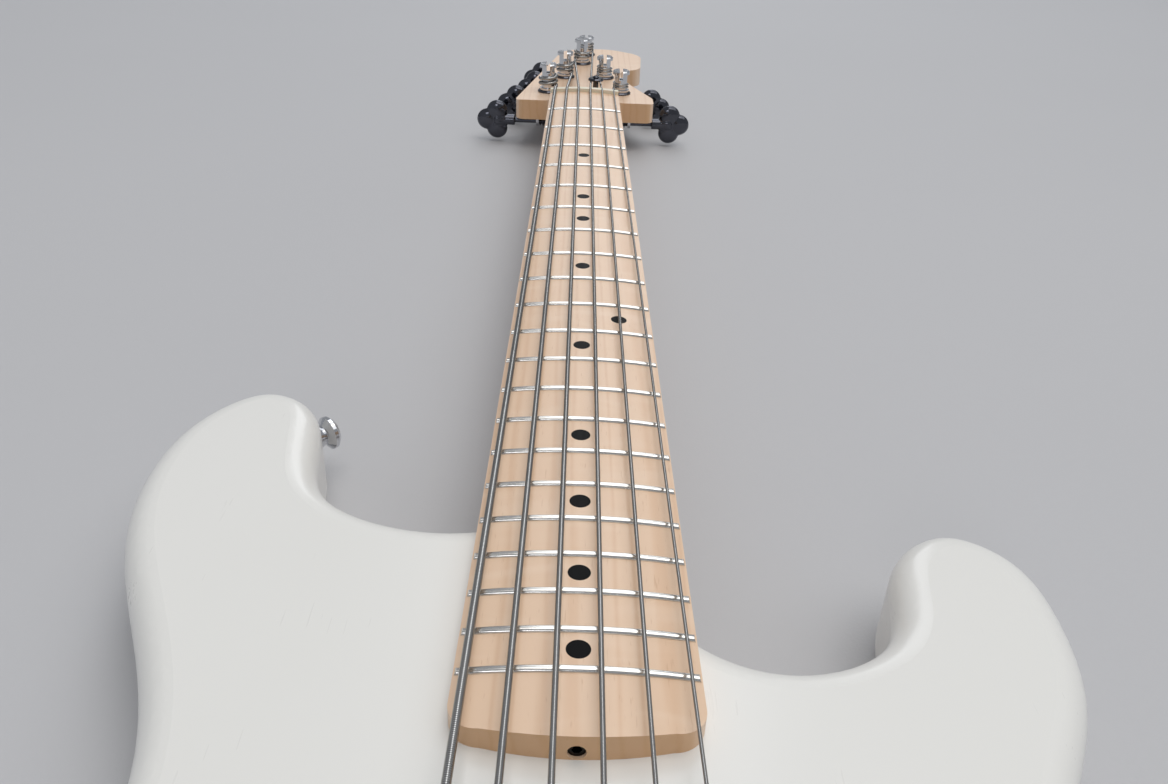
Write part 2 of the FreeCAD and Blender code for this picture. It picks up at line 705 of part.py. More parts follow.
def truss_rod_nut():
    base = Vector(0, NECK_END_Y + ROD_NUT_RECESS, CROWN_Z - ROD_END_DROP)
    body_of_nut = cylinder(ROD_NUT_DIAMETER / 2 - ROD_NUT_ROOM, base, ALONG, ROD_NUT_LENGTH)
    socket = hexagon(base, ROD_KEY_WIDTH / 2, ACROSS, UP).extrude(ALONG * ROD_KEY_DEPTH)
    return body_of_nut.cut(socket)


def rod_hole():
    base = Vector(0, NECK_END_Y - OVERRUN, CROWN_Z - ROD_END_DROP)
    depth = ROD_NUT_RECESS + ROD_NUT_LENGTH + ROD_HOLE_PAST
    return cylinder(ROD_NUT_DIAMETER / 2, base, ALONG, OVERRUN + depth)


def strip_channel():
    """The slot behind the rod, open at the back of the neck."""
    start, middle, end = rod_points()
    first = Vector(0, NECK_END_Y + STRIP_START, 0)
    curve = rod_curve()
    share = curve.parameter(Vector(0, first.y, start.z))
    first.z = curve.value(share).z
    between = curve.value((share + curve.parameter(end)) / 2)
    low = HEAD_BACK_Z - OVERRUN
    corners = [end, Vector(0, end.y, low), Vector(0, first.y, low), first]
    face = Part.Face(Part.Wire([Part.Arc(first, between, end).toShape(), Part.makePolygon(corners)]))
    face.translate(ACROSS * (-STRIP_WIDTH / 2))
    return face.extrude(ACROSS * STRIP_WIDTH)


# Strings


def coil_radius(index):
    return POST_RADIUS + COIL_ROOM + STRING_DIAMETERS[index] / 2


def coil_start_z(index):
    flange_top = HEAD_FACE_Z + BUSHING_FLANGE_THICKNESS + POST_END_ROOM + POST_FLANGE_THICKNESS
    return flange_top + COIL_GAP + STRING_DIAMETERS[index] / 2


def coil_tangent(index):
    """The place where a string meets its post, and its heading there, both level."""
    start = nut_point(index)
    post = post_place(index)
    gap = Vector(post.x - start.x, post.y - start.y, 0)
    lean = math.asin(coil_radius(index) / gap.Length) * COIL_SIDES[index]
    unit = gap * (1 / gap.Length)
    heading = Vector(unit.x * math.cos(lean) + unit.y * math.sin(lean),
                     unit.y * math.cos(lean) - unit.x * math.sin(lean), 0)
    outward = Vector(heading.y, -heading.x, 0) * COIL_SIDES[index]
    place = Vector(post.x, post.y, coil_start_z(index)) + outward * coil_radius(index)
    return place, heading, outward


def string_headings(index):
    place, heading, outward = coil_tangent(index)
    run = place - heading * COIL_LEAD_IN - nut_point(index)
    return run * (1 / run.Length), heading


def coil_edges(index):
    """The turns on the post as biarcs of a quarter turn, climbing from the lowest turn."""
    post = post_place(index)
    place, heading, outward = coil_tangent(index)
    radius = coil_radius(index)
    side = COIL_SIDES[index]
    climb = (STRING_DIAMETERS[index] + COIL_GAP) * COIL_RISE_SHARE / (2 * math.pi)
    start_angle = math.atan2(outward.y, outward.x)
    ramp = math.pi / 2

    def station(turned_by):
        slope = climb * min(1, turned_by / ramp)
        height = climb * (turned_by - ramp / 2) if turned_by > ramp else climb * turned_by ** 2 / ramp / 2
        angle = start_angle + side * turned_by
        arm = Vector(math.cos(angle), math.sin(angle), 0) * radius
        point = Vector(post.x + arm.x, post.y + arm.y, place.z + height)
        direction = Vector(-arm.y * side, arm.x * side, slope)
        return point, direction * (1 / direction.Length)

    stations = [station(quarter * math.pi / 2) for quarter in range(round(COIL_TURNS * 4) + 1)]
    edges = []
    for (start, direction), (end, end_direction) in zip(stations, stations[1:]):
        edges += biarc(start, direction, end, end_direction)
    return edges


def string_points(index):
    place, heading, outward = coil_tangent(index)
    ball = Vector(string_x(index, 0), BALL_Y, BALL_Z)
    return [ball, saddle_point(index), nut_point(index), place - heading * COIL_LEAD_IN, place]


def least_coil_gap(index):
    """The smallest gap between two turns, measured on points half a turn or more apart."""
    steps = 8
    place, heading, outward = coil_tangent(index)
    points = [place - heading * (COIL_LEAD_IN * step / steps) for step in range(steps, 0, -1)]
    for edge in coil_edges(index):
        points += edge.discretize(steps + 1)[:-1]
    half_turn = steps * 4
    least = min((first - second).Length for position, first in enumerate(points)
                for second in points[position + half_turn:])
    return least - STRING_DIAMETERS[index]


def string(index):
    edges = rounded_path(string_points(index), STRING_BEND) + coil_edges(index)
    ball = Part.makeSphere(BALL_RADIUS, string_points(index)[0])
    return tube(edges, STRING_DIAMETERS[index] / 2).fuse(ball)


# Tuners


def tuner_post(index):
    place = post_place(index)
    start = BUSHING_FLANGE_THICKNESS + POST_END_ROOM
    height = POST_HEIGHTS[index]
    cap = height - POST_CAP_THICKNESS
    foot = GEAR_TOP_Z - HEAD_FACE_Z
    flange = start + POST_FLANGE_THICKNESS
    profile = [(0, foot), (POST_SHAFT_RADIUS, foot), (POST_SHAFT_RADIUS, start),
               (POST_FLANGE_RADIUS, start), (POST_FLANGE_RADIUS, flange), (POST_RADIUS, flange),
               (POST_RADIUS, cap), (POST_FLANGE_RADIUS, cap), (POST_FLANGE_RADIUS, height - POST_CAP_ROUND),
               (POST_FLANGE_RADIUS - POST_CAP_ROUND, height), (0, height)]
    post = turned(profile, place, UP)
    top = place + UP * height
    reach = POST_FLANGE_RADIUS + OVERRUN
    slot_low = top - Vector(POST_SLOT_WIDTH / 2, reach, POST_SLOT_DEPTH)
    post = post.cut(box(slot_low, top + Vector(POST_SLOT_WIDTH / 2, reach, OVERRUN)))
    return post.cut(cylinder(POST_BORE_RADIUS, top - UP * POST_BORE_DEPTH, UP, POST_BORE_DEPTH + OVERRUN))


def gear(place):
    """A wheel with straight teeth and a space facing the worm, which runs on its nut side."""
    outer = WORM_OFFSET - WORM_PITCH_RADIUS + GEAR_MODULE - MESH_ROOM
    root = GEAR_PITCH_RADIUS - GEAR_MODULE - MESH_ROOM / 2
    step = 2 * math.pi / GEAR_TEETH
    tooth_shape = ((root, -TOOTH_ROOT_SHARE), (outer, -TOOTH_TIP_SHARE), (outer, TOOTH_TIP_SHARE),
                   (root, TOOTH_ROOT_SHARE))
    points = []
    for tooth in range(GEAR_TEETH):
        middle = -math.pi / 2 + step * (tooth + 0.5)
        for radius, share in tooth_shape:
            angle = middle + step * share / 2
            points.append(Vector(radius * math.cos(angle), radius * math.sin(angle), 0))
    wheel = Part.Face(Part.makePolygon(points + points[:1])).extrude(UP * -GEAR_THICKNESS)
    wheel.translate(Vector(place.x, place.y, GEAR_TOP_Z))
    return wheel


def gear_screw(place):
    base = Vector(place.x, place.y, GEAR_TOP_Z - GEAR_THICKNESS)
    head = cylinder(GEAR_SCREW_RADIUS, base, UP * -1, GEAR_SCREW_THICKNESS)
    low = base - Vector(GEAR_SCREW_RADIUS + OVERRUN, GEAR_SCREW_SLOT / 2, GEAR_SCREW_THICKNESS + OVERRUN)
    high = base + Vector(GEAR_SCREW_RADIUS + OVERRUN, GEAR_SCREW_SLOT / 2, -GEAR_SCREW_THICKNESS / 2)
    return head.cut(box(low, high))


def worm_thread():
    """The worm around the X axis, with a crest toward +Y at the middle."""
    crest = WORM_PITCH_RADIUS + GEAR_MODULE - MESH_ROOM
    core = WORM_OFFSET - GEAR_PITCH_RADIUS - GEAR_MODULE
    length = WORM_TURNS * WORM_PITCH
    sink = core - MESH_ROOM
    half_crest = WORM_PITCH * THREAD_CREST_SHARE / 2
    half_root = WORM_PITCH * THREAD_ROOT_SHARE / 2
    helix = Part.makeHelix(WORM_PITCH, length, core)
    corners = [Vector(sink, 0, -half_root), Vector(crest, 0, -half_crest), Vector(crest, 0, half_crest),
               Vector(sink, 0, half_root)]
    thread = Part.Wire(helix.Edges).makePipeShell([Part.makePolygon(corners + corners[:1])], True, True)
    solid = cylinder(core, UP * -half_root, UP, length + 2 * half_root).fuse(thread)
    solid.translate(UP * (-length / 2))
    solid.rotate(Vector(), UP, 180)
    solid.rotate(Vector(), ALONG, 90)
    solid.rotate(Vector(), ACROSS, 90)
    return solid


def worm_place(index):
    place = post_place(index)
    return Vector(place.x, place.y - WORM_OFFSET, WORM_Z)


def worm_half_length():
    return (WORM_TURNS + THREAD_ROOT_SHARE) * WORM_PITCH / 2


def tuner_key(index, thread):
    side = KEY_SIDES[index]
    outward = ACROSS * side
    place = worm_place(index)
    worm = thread.copy()
    worm.translate(place)
    half = worm_half_length()
    inner_end = half + EAR_ROOM + EAR_THICKNESS + EAR_ROOM
    shaft_length = inner_end + KEY_START + KEY_REACH
    shaft_solid = cylinder(WORM_SHAFT_RADIUS, place - outward * inner_end, outward, shaft_length)
    key_place = place + outward * KEY_START
    shaft_solid = shaft_solid.fuse(worm)
    return compound([shaft_solid, key_paddle(key_place, outward).cut(shaft_solid)])


def key_paddle(place, outward):
    """A three-lobed key on a round collar, standing upright on its shaft."""
    half = KEY_THICKNESS / 2
    rim = KEY_LOBE_RADIUS - KEY_EDGE_ROUND
    profile = [(0, -half), (rim, -half), (KEY_LOBE_RADIUS, KEY_EDGE_ROUND - half),
               (KEY_LOBE_RADIUS, half - KEY_EDGE_ROUND), (rim, half), (0, half)]
    middle = place + outward * (KEY_COLLAR_LENGTH + KEY_LOBE_RADIUS - KEY_EDGE_ROUND)
    tip = middle + outward * (KEY_REACH * KEY_TIP_SHARE)
    centres = [middle + UP * KEY_SPREAD, middle - UP * KEY_SPREAD, tip]
    lobes = [turned(profile, centre, ALONG) for centre in centres]
    collar = cylinder(KEY_COLLAR_RADIUS, place, outward, KEY_COLLAR_LENGTH + KEY_LOBE_RADIUS)
    return lobes[0].multiFuse(lobes[1:] + [collar])


def tuner_plate(index):
    """The base plate under the headstock, with two ears that carry the worm shaft."""
    place = post_place(index)
    side = KEY_SIDES[index]
    ends = sorted((place.x - side * PLATE_BACK, place.x + side * PLATE_FRONT))
    low = Vector(ends[0], place.y - PLATE_NUT_SIDE, PLATE_BACK_Z)
    plate = slab(low, Vector(ends[1], place.y + PLATE_TIP_SIDE, HEAD_BACK_Z), PLATE_CORNER)
    bore_base = Vector(place.x, place.y, PLATE_BACK_Z - OVERRUN)
    bore_length = PLATE_THICKNESS + 2 * OVERRUN
    plate = plate.cut(cylinder(POST_SHAFT_RADIUS + RUNNING_ROOM, bore_base, UP, bore_length))
    worm = worm_place(index)
    start = worm_half_length() + EAR_ROOM
    for direction in (ACROSS, ACROSS * -1):
        base = worm + direction * start
        ear = cylinder(EAR_HALF_WIDTH, base, direction, EAR_THICKNESS)
        corner = base - ALONG * EAR_HALF_WIDTH
        stem = [corner, corner + direction * EAR_THICKNESS]
        stem_low = Vector(min(p.x for p in stem), corner.y, WORM_Z)
        stem_high = Vector(max(p.x for p in stem), corner.y + 2 * EAR_HALF_WIDTH, PLATE_BACK_Z)
        plate = plate.multiFuse([ear, box(stem_low, stem_high)])
    reach = start + EAR_THICKNESS + OVERRUN
    hole = cylinder(WORM_SHAFT_RADIUS + RUNNING_ROOM, worm - ACROSS * reach, ACROSS, 2 * reach)
    return plate.cut(hole)


def plate_screw_places(index):
    place = post_place(index)
    side = KEY_SIDES[index]
    reaches = (PLATE_SCREW_INSET - PLATE_BACK, PLATE_FRONT - PLATE_SCREW_INSET)
    y = place.y + PLATE_TIP_SIDE - PLATE_SCREW_INSET
    return [Vector(place.x + side * reach, y, PLATE_BACK_Z) for reach in reaches]


def screw(place, axis, radius, head_radius, head_height, length):
    """A screw whose head stands on place and whose shank goes along the axis, with a slot in the head."""
    profile = [(0, -head_height), (head_radius * SCREW_CROWN_SHARE, -head_height),
               (head_radius, -head_height / 2), (head_radius, 0), (radius, 0), (radius, length - radius),
               (0, length)]
    solid = turned(profile, place, axis)
    slot = box(Vector(-head_radius - OVERRUN, -head_radius * SLOT_SHARE / 2, -head_height - OVERRUN),
               Vector(head_radius + OVERRUN, head_radius * SLOT_SHARE / 2, -head_height / 2))
    slot.Placement = FreeCAD.Placement(place, FreeCAD.Rotation(UP, axis))
    return solid.cut(slot)


def small_screw(place, axis):
    return screw(place, axis, SMALL_SCREW_RADIUS, SMALL_SCREW_HEAD_RADIUS, SMALL_SCREW_HEAD_HEIGHT,
                 SMALL_SCREW_LENGTH)


def body_screw(place, axis):
    return screw(place, axis, BODY_SCREW_RADIUS, BODY_SCREW_HEAD_RADIUS, BODY_SCREW_HEAD_HEIGHT,
                 BODY_SCREW_LENGTH)


def tuner_bushing(index):
    bore = POST_SHAFT_RADIUS + RUNNING_ROOM
    bevel = BUSHING_FLANGE_THICKNESS / 2
    profile = [(bore, -BUSHING_DEPTH), (BUSHING_RADIUS, -BUSHING_DEPTH), (BUSHING_RADIUS, 0),
               (BUSHING_FLANGE_RADIUS, 0), (BUSHING_FLANGE_RADIUS, BUSHING_FLANGE_THICKNESS - bevel),
               (BUSHING_FLANGE_RADIUS - bevel, BUSHING_FLANGE_THICKNESS), (bore, BUSHING_FLANGE_THICKNESS)]
    return turned(profile, post_place(index), UP)


def tuner_bore(index):
    place = post_place(index)
    deep = cylinder(POST_SHAFT_RADIUS + RUNNING_ROOM, Vector(place.x, place.y, HEAD_BACK_Z - OVERRUN), UP,
                    HEAD_THICKNESS + 2 * OVERRUN)
    return deep.fuse(cylinder(BUSHING_RADIUS, place - UP * BUSHING_DEPTH, UP, BUSHING_DEPTH + OVERRUN))


def retainer_place():
    """On the headstock face between strings 4 and 5."""
    points = []
    for index in (3, 4):
        start = nut_point(index)
        heading = string_headings(index)[0]
        points.append(start + heading * ((RETAINER_PLACE - NUT_THICKNESS / 2) / heading.y))
    middle = (points[0] + points[1]) * 0.5
    top = max(point.z + STRING_DIAMETERS[index] / 2 for point, index in zip(points, (3, 4)))
    return Vector(middle.x, middle.y, HEAD_FACE_Z), top - HEAD_FACE_Z + RETAINER_ROOM


def string_retainer():
    place, height = retainer_place()
    rim = RETAINER_RADIUS - RETAINER_THICKNESS / 2
    profile = [(SMALL_SCREW_RADIUS, 0), (RETAINER_STEM_RADIUS, 0), (RETAINER_STEM_RADIUS, height),
               (RETAINER_RADIUS, height), (RETAINER_RADIUS, height + RETAINER_THICKNESS / 2),
               (rim, height + RETAINER_THICKNESS), (SMALL_SCREW_RADIUS, height + RETAINER_THICKNESS)]
    ring = turned(profile, place, UP)
    top = height + RETAINER_THICKNESS
    pin = screw(place + UP * top, UP * -1, SMALL_SCREW_RADIUS, SMALL_SCREW_HEAD_RADIUS,
                SMALL_SCREW_HEAD_HEIGHT, top + SMALL_SCREW_LENGTH)
    return ring, pin


# Body pieces


def body_blank():
    solid = prism(Part.Wire(outline_curve(0).toShape()), BODY_THICKNESS)
    rims = [edge for edge in solid.Edges if edge.BoundBox.ZLength < Part.Precision.confusion()]
    return solid.makeFillet(BODY_EDGE_RADIUS, rims)


def neck_pocket():
    length = BODY_LENGTH - BODY_TAIL
    return prism(heel_outline(HEEL_FLOOR_Z, length), HEEL_DEPTH + OVERRUN)


def pickup_place(number):
    return Vector(0, SCALE_LENGTH * PICKUP_PLACE_SHARES[number], BODY_THICKNESS + PICKUP_RISE)


def pickup_route(number):
    place = pickup_place(number)
    half = Vector(PICKUP_LENGTH / 2 + ROUTE_ROOM, PICKUP_WIDTH / 2 + ROUTE_ROOM, 0)
    low = Vector(place.x, place.y, ROUTE_FLOOR_Z) - half
    return slab(low, Vector(place.x, place.y, BODY_THICKNESS + OVERRUN) + half, PICKUP_CORNER + ROUTE_ROOM)


def cavity_outline(corner_radius):
    points = [body_point(x, y, 0) for x, y in CAVITY_SHARES]
    return rounded_outline([(point.x, point.y, corner_radius) for point in points], 0)


def cover_outline(inset):
    return cavity_outline(0).makeOffset2D(COVER_LEDGE - inset)


def cover_screw_places():
    return [body_point(*CAVITY_SHARES[corner], 0) for corner in COVER_SCREW_CORNERS]


def control_cavity():
    """The hollow for the controls, with wood left around the cover screws and a ledge."""
    bosses = [cylinder(COVER_BOSS_RADIUS, place - UP * OVERRUN, UP, CAVITY_TOP_Z + 2 * OVERRUN)
              for place in cover_screw_places()]
    hollow = prism(cavity_outline(CAVITY_CORNER), CAVITY_TOP_Z).cut(compound(bosses))
    return hollow.fuse(prism(cover_outline(0), COVER_THICKNESS))


def knob_place(number):
    return body_point(*KNOB_SHARES[number], BODY_THICKNESS)


def channel_runs():
    """The drilled wire ways: between the pickup routes, on to the controls, and up to the bridge."""
    neck_route, bridge_route = pickup_place(0), pickup_place(1)
    cavity = knob_place(2)
    inside = ACROSS * (PICKUP_LENGTH / 4)
    ground = Vector(BRIDGE_WIDTH / 3, 0, BODY_THICKNESS + OVERRUN)
    first_knob = knob_place(0)
    return [(Vector(0, neck_route.y, CHANNEL_Z), Vector(0, bridge_route.y, CHANNEL_Z)),
            (Vector(inside.x, bridge_route.y, CHANNEL_Z), Vector(cavity.x, cavity.y, CHANNEL_Z)),
            (ground, Vector(first_knob.x, first_knob.y, CHANNEL_Z))]


def channels():
    return [cylinder(CHANNEL_RADIUS, start, end - start, (end - start).Length)
            for start, end in channel_runs()]


def strap_button(number):
    point, outward = edge_place(number)
    head = BUTTON_LENGTH - BUTTON_HEAD_THICKNESS
    profile = [(BODY_SCREW_RADIUS, 0), (BUTTON_BASE_RADIUS, 0), (BUTTON_BASE_RADIUS, BUTTON_BASE_THICKNESS),
               (BUTTON_WAIST_RADIUS, BUTTON_LENGTH / 2), (BUTTON_HEAD_RADIUS, head),
               (BUTTON_HEAD_RADIUS, head + BUTTON_HEAD_THICKNESS / 2),
               (BUTTON_HEAD_RADIUS * BUTTON_CROWN_SHARE, BUTTON_LENGTH), (BODY_SCREW_RADIUS, BUTTON_LENGTH)]
    base = point - outward * BUTTON_SEAT
    button = turned(profile, base, outward)
    pin = screw(base + outward * BUTTON_LENGTH, outward * -1, BODY_SCREW_RADIUS, BODY_SCREW_HEAD_RADIUS,
                BODY_SCREW_HEAD_HEIGHT, BUTTON_LENGTH + BODY_SCREW_LENGTH)
    seat = cylinder(BUTTON_BASE_RADIUS + BUTTON_SEAT_ROOM, base, outward, BUTTON_SEAT + OVERRUN)
    return button, pin, seat


def output_jack():
    point, outward = edge_place(JACK_POINT)
    seat_base = point - outward * JACK_SEAT
    barrel = cylinder(JACK_RADIUS, seat_base, outward * -1, JACK_LENGTH)
    flange = cylinder(JACK_FLANGE_RADIUS, seat_base, outward, JACK_FLANGE_THICKNESS)
    mouth = seat_base + outward * JACK_FLANGE_THICKNESS
    bore = cylinder(JACK_BORE_RADIUS, mouth + outward * OVERRUN, outward * -1, JACK_BORE_LENGTH + OVERRUN)
    seat = cylinder(JACK_FLANGE_RADIUS + BUTTON_SEAT_ROOM, seat_base, outward, JACK_SEAT + OVERRUN)
    way = cylinder(JACK_RADIUS, seat_base + outward * OVERRUN, outward * -1, JACK_LENGTH + OVERRUN)
    return barrel.fuse(flange).cut(bore), [seat, way]


def neck_screw_place(number):
    share_x, share_y = NECK_SCREW_SHARES[number]
    return Vector(share_x * HEEL_WIDTH, NECK_END_Y + share_y * HEEL_BLOCK_LENGTH, 0)


def ferrule_hole(number):
    return cylinder(FERRULE_RADIUS, neck_screw_place(number) - UP * OVERRUN, UP, OVERRUN + FERRULE_HEIGHT)


def neck_screw(number):
    seat = neck_screw_place(number) + UP * FERRULE_RECESS
    length = HEEL_FLOOR_Z - seat.z + NECK_SCREW_BITE
    return screw(seat, UP, NECK_SCREW_RADIUS, NECK_SCREW_HEAD_RADIUS, NECK_SCREW_HEAD_HEIGHT, length)


def ferrule(number):
    bore = NECK_SCREW_HEAD_RADIUS + FERRULE_ROOM
    profile = [(NECK_SCREW_RADIUS, FERRULE_RECESS), (bore, FERRULE_RECESS), (bore, 0), (FERRULE_RADIUS, 0),
               (FERRULE_RADIUS, FERRULE_HEIGHT), (NECK_SCREW_RADIUS, FERRULE_HEIGHT)]
    return turned(profile, neck_screw_place(number), UP)


def cover_screw(place):
    return small_screw(place + UP * SMALL_SCREW_HEAD_HEIGHT, UP)


def cover_screw_seat(place):
    return cylinder(SMALL_SCREW_HEAD_RADIUS, place - UP * OVERRUN, UP, OVERRUN + SMALL_SCREW_HEAD_HEIGHT)


# Bridge


def bridge_plate():
    half = BRIDGE_WIDTH / 2
    rear = Vector(-half, -BRIDGE_REAR, BODY_THICKNESS)
    plate = slab(rear, Vector(half, BRIDGE_FRONT, PLATE_TOP_Z), BRIDGE_CORNER)
    wall = box(rear, Vector(half, BRIDGE_WALL_THICKNESS - BRIDGE_REAR, BODY_THICKNESS + BRIDGE_WALL_HEIGHT))
    corners = [edge for edge in wall.Edges if edge.BoundBox.YLength > BRIDGE_WALL_THICKNESS / 2
               and edge.CenterOfMass.z > PLATE_TOP_Z]
    wall = wall.makeFillet(BRIDGE_CORNER, [edge for edge in corners if edge.BoundBox.XLength < BRIDGE_CORNER
                                           and edge.BoundBox.ZLength < BRIDGE_CORNER])
    plate = plate.fuse(wall)
    for index in range(STRING_COUNT):
        x = string_x(index, 0)
        start = -BRIDGE_REAR - OVERRUN
        length = BRIDGE_WALL_THICKNESS + 2 * OVERRUN
        hole = cylinder(STRING_DIAMETERS[index] / 2 + STRING_ROOM, Vector(x, start, BALL_Z), ALONG, length)
        slot = box(Vector(x - STRING_DIAMETERS[index] / 2 - STRING_ROOM, start, BALL_Z),
                   Vector(x + STRING_DIAMETERS[index] / 2 + STRING_ROOM, start + length,
                          BODY_THICKNESS + BRIDGE_WALL_HEIGHT + OVERRUN))
        way = cylinder(INTONATION_RADIUS + SLIDE_ROOM, Vector(x, start, INTONATION_Z), ALONG, length)
        plate = plate.cut(compound([hole.fuse(slot), way]))
    return plate


def bridge_screw_place(number):
    share_x, share_y = BRIDGE_SCREW_SHARES[number]
    reach = BRIDGE_FRONT if share_y > 0 else BRIDGE_REAR
    return Vector(share_x * BRIDGE_WIDTH, share_y * reach, PLATE_TOP_Z)


def intonation_screw(index):
    """A screw held by the rear wall between its head and a collar."""
    place = Vector(string_x(index, 0), -BRIDGE_REAR - SLIDE_ROOM, INTONATION_Z)
    inner = BRIDGE_WALL_THICKNESS + 2 * SLIDE_ROOM
    end = BRIDGE_REAR + SADDLE_FRONT + SADDLE_TRAVEL + INTONATION_PAST_SADDLE
    profile = [(0, -INTONATION_HEAD_LENGTH), (INTONATION_HEAD_RADIUS, -INTONATION_HEAD_LENGTH),
               (INTONATION_HEAD_RADIUS, 0), (INTONATION_RADIUS, 0), (INTONATION_RADIUS, inner),
               (INTONATION_HEAD_RADIUS, inner), (INTONATION_HEAD_RADIUS, inner + INTONATION_COLLAR_LENGTH),
               (INTONATION_RADIUS, inner + INTONATION_COLLAR_LENGTH), (INTONATION_RADIUS, end), (0, end)]
    solid = turned(profile, place, ALONG)
    arm = INTONATION_HEAD_RADIUS * CROSS_ARM_SHARE
    half = INTONATION_HEAD_RADIUS * SLOT_SHARE / 2
    depth = INTONATION_HEAD_LENGTH / 2
    mouth = place - ALONG * (INTONATION_HEAD_LENGTH + OVERRUN)
    for reach_x, reach_z in ((arm, half), (half, arm)):
        low = mouth - Vector(reach_x, 0, reach_z)
        solid = solid.cut(box(low, mouth + Vector(reach_x, OVERRUN + depth, reach_z)))
    return solid


def saddle(index):
    """A block with a crest under the string, a bore for its screw and two height screws."""
    crest = saddle_point(index)
    half = SADDLE_WIDTH / 2
    top = crest.z - STRING_DIAMETERS[index] / 2 + SADDLE_LIP
    back_share, front_share = SADDLE_CREST_SHARES
    side = [(-SADDLE_BACK, SADDLE_BOTTOM_Z), (SADDLE_FRONT, SADDLE_BOTTOM_Z),
            (SADDLE_FRONT, top - SADDLE_LIP), (SADDLE_FRONT * front_share, top),
            (SADDLE_BACK * back_share, top), (-SADDLE_BACK, top - SADDLE_FALL)]
    points = [Vector(crest.x - half, y, z) for y, z in side]
    block = Part.Face(Part.makePolygon(points + points[:1])).extrude(ACROSS * SADDLE_WIDTH)
    way = string_points(index)[:2] + [string_at(index, SADDLE_FRONT + SADDLE_TRAVEL + OVERRUN)]
    block = block.cut(tube(rounded_path(way, STRING_BEND), STRING_DIAMETERS[index] / 2 + STRING_ROOM))
    bore_start = Vector(crest.x, -SADDLE_BACK - OVERRUN, INTONATION_Z)
    length = SADDLE_BACK + SADDLE_FRONT + 2 * OVERRUN
    block = block.cut(cylinder(INTONATION_RADIUS + SLIDE_ROOM, bore_start, ALONG, length))
    solids = []
    for sign in (-1, 1):
        base = Vector(crest.x + sign * HEIGHT_SCREW_SIDE, HEIGHT_SCREW_PLACE, PLATE_TOP_Z + SLIDE_ROOM)
        pin_length = top - SADDLE_LIP - base.z - HEIGHT_SCREW_TOP
        block = block.cut(cylinder(HEIGHT_SCREW_RADIUS, base, UP, pin_length + 2 * OVERRUN))
        pin = cylinder(HEIGHT_SCREW_RADIUS, base, UP, pin_length)
        socket = cylinder(HEIGHT_SCREW_RADIUS / 2, base + UP * (pin_length - HEIGHT_SCREW_SOCKET), UP,
                          HEIGHT_SCREW_SOCKET + OVERRUN)
        solids.append(pin.cut(socket))
    return compound([block] + solids)


# Pickups


def pole_places(number):
    place = pickup_place(number)
    return [Vector(string_x(index, place.y + row), place.y + row, place.z)
            for row in (-POLE_ROW, POLE_ROW) for index in range(STRING_COUNT)]


def pickup_screw_places(number):
    place = pickup_place(number)
    reach = PICKUP_LENGTH / 2 - PICKUP_SCREW_INSET
    return [place + ACROSS * reach, place - ACROSS * reach]


def pickup_cover(number):
    place = pickup_place(number)
    half = Vector(PICKUP_LENGTH / 2, PICKUP_WIDTH / 2, 0)
    low = place - half - UP * PICKUP_HEIGHT
    block = slab(low, place + half, PICKUP_CORNER)
    rim = [edge for edge in block.Edges if edge.BoundBox.ZMin > place.z - PICKUP_WALL]
    block = block.makeFillet(PICKUP_EDGE_ROUND, rim)
    inside = half - Vector(PICKUP_END_WALL, PICKUP_WALL, 0)
    below = UP * (PICKUP_HEIGHT + OVERRUN)
    block = block.cut(box(place - inside - below, place + inside - UP * PICKUP_WALL))
    holes = [cylinder(POLE_RADIUS, spot - UP * (PICKUP_WALL + OVERRUN), UP, PICKUP_WALL + 2 * OVERRUN)
             for spot in pole_places(number)]
    holes += [cylinder(PICKUP_SCREW_RADIUS, spot - below, UP, PICKUP_HEIGHT + 2 * OVERRUN)
              for spot in pickup_screw_places(number)]
    return block.cut(compound(holes))


def pickup_core(number):
    """Two coils side by side on their pole pieces, with a base that closes the cover."""
    place = pickup_place(number)
    poles = [cylinder(POLE_RADIUS, spot + UP * POLE_RISE, UP * -1, POLE_RISE + PICKUP_WALL + COIL_HEIGHT)
             for spot in pole_places(number)]
    reach = PICKUP_LENGTH / 2 - PICKUP_END_WALL
    coils = []
    for row in (-POLE_ROW, POLE_ROW):
        middle = Vector(place.x, place.y + row, place.z - PICKUP_WALL)
        half = Vector(reach, COIL_HALF_WIDTH, 0)
        coil = slab(middle - half - UP * COIL_HEIGHT, middle + half, COIL_HALF_WIDTH * COIL_END_SHARE)
        coils.append(coil.cut(compound(poles)))
    base_top = place - UP * (PICKUP_WALL + COIL_HEIGHT)
    half = Vector(reach, PICKUP_WIDTH / 2 - PICKUP_WALL, 0)
    base = box(base_top - half - UP * (PICKUP_HEIGHT - PICKUP_WALL - COIL_HEIGHT), base_top + half)
    return compound(poles + coils + [base])


def pickup_screws(number):
    return compound([screw(spot, UP * -1, PICKUP_SCREW_RADIUS, PICKUP_SCREW_HEAD_RADIUS,
                           PICKUP_SCREW_HEAD_HEIGHT, PICKUP_SCREW_LENGTH)
                     for spot in pickup_screw_places(number)])


def pickup_screw_holes(number):
    radius = PICKUP_SCREW_RADIUS + RUNNING_ROOM
    return [cylinder(radius, spot - UP * (PICKUP_SCREW_LENGTH + PICKUP_RISE), UP, PICKUP_SCREW_LENGTH)
            for spot in pickup_screw_places(number)]


# Controls


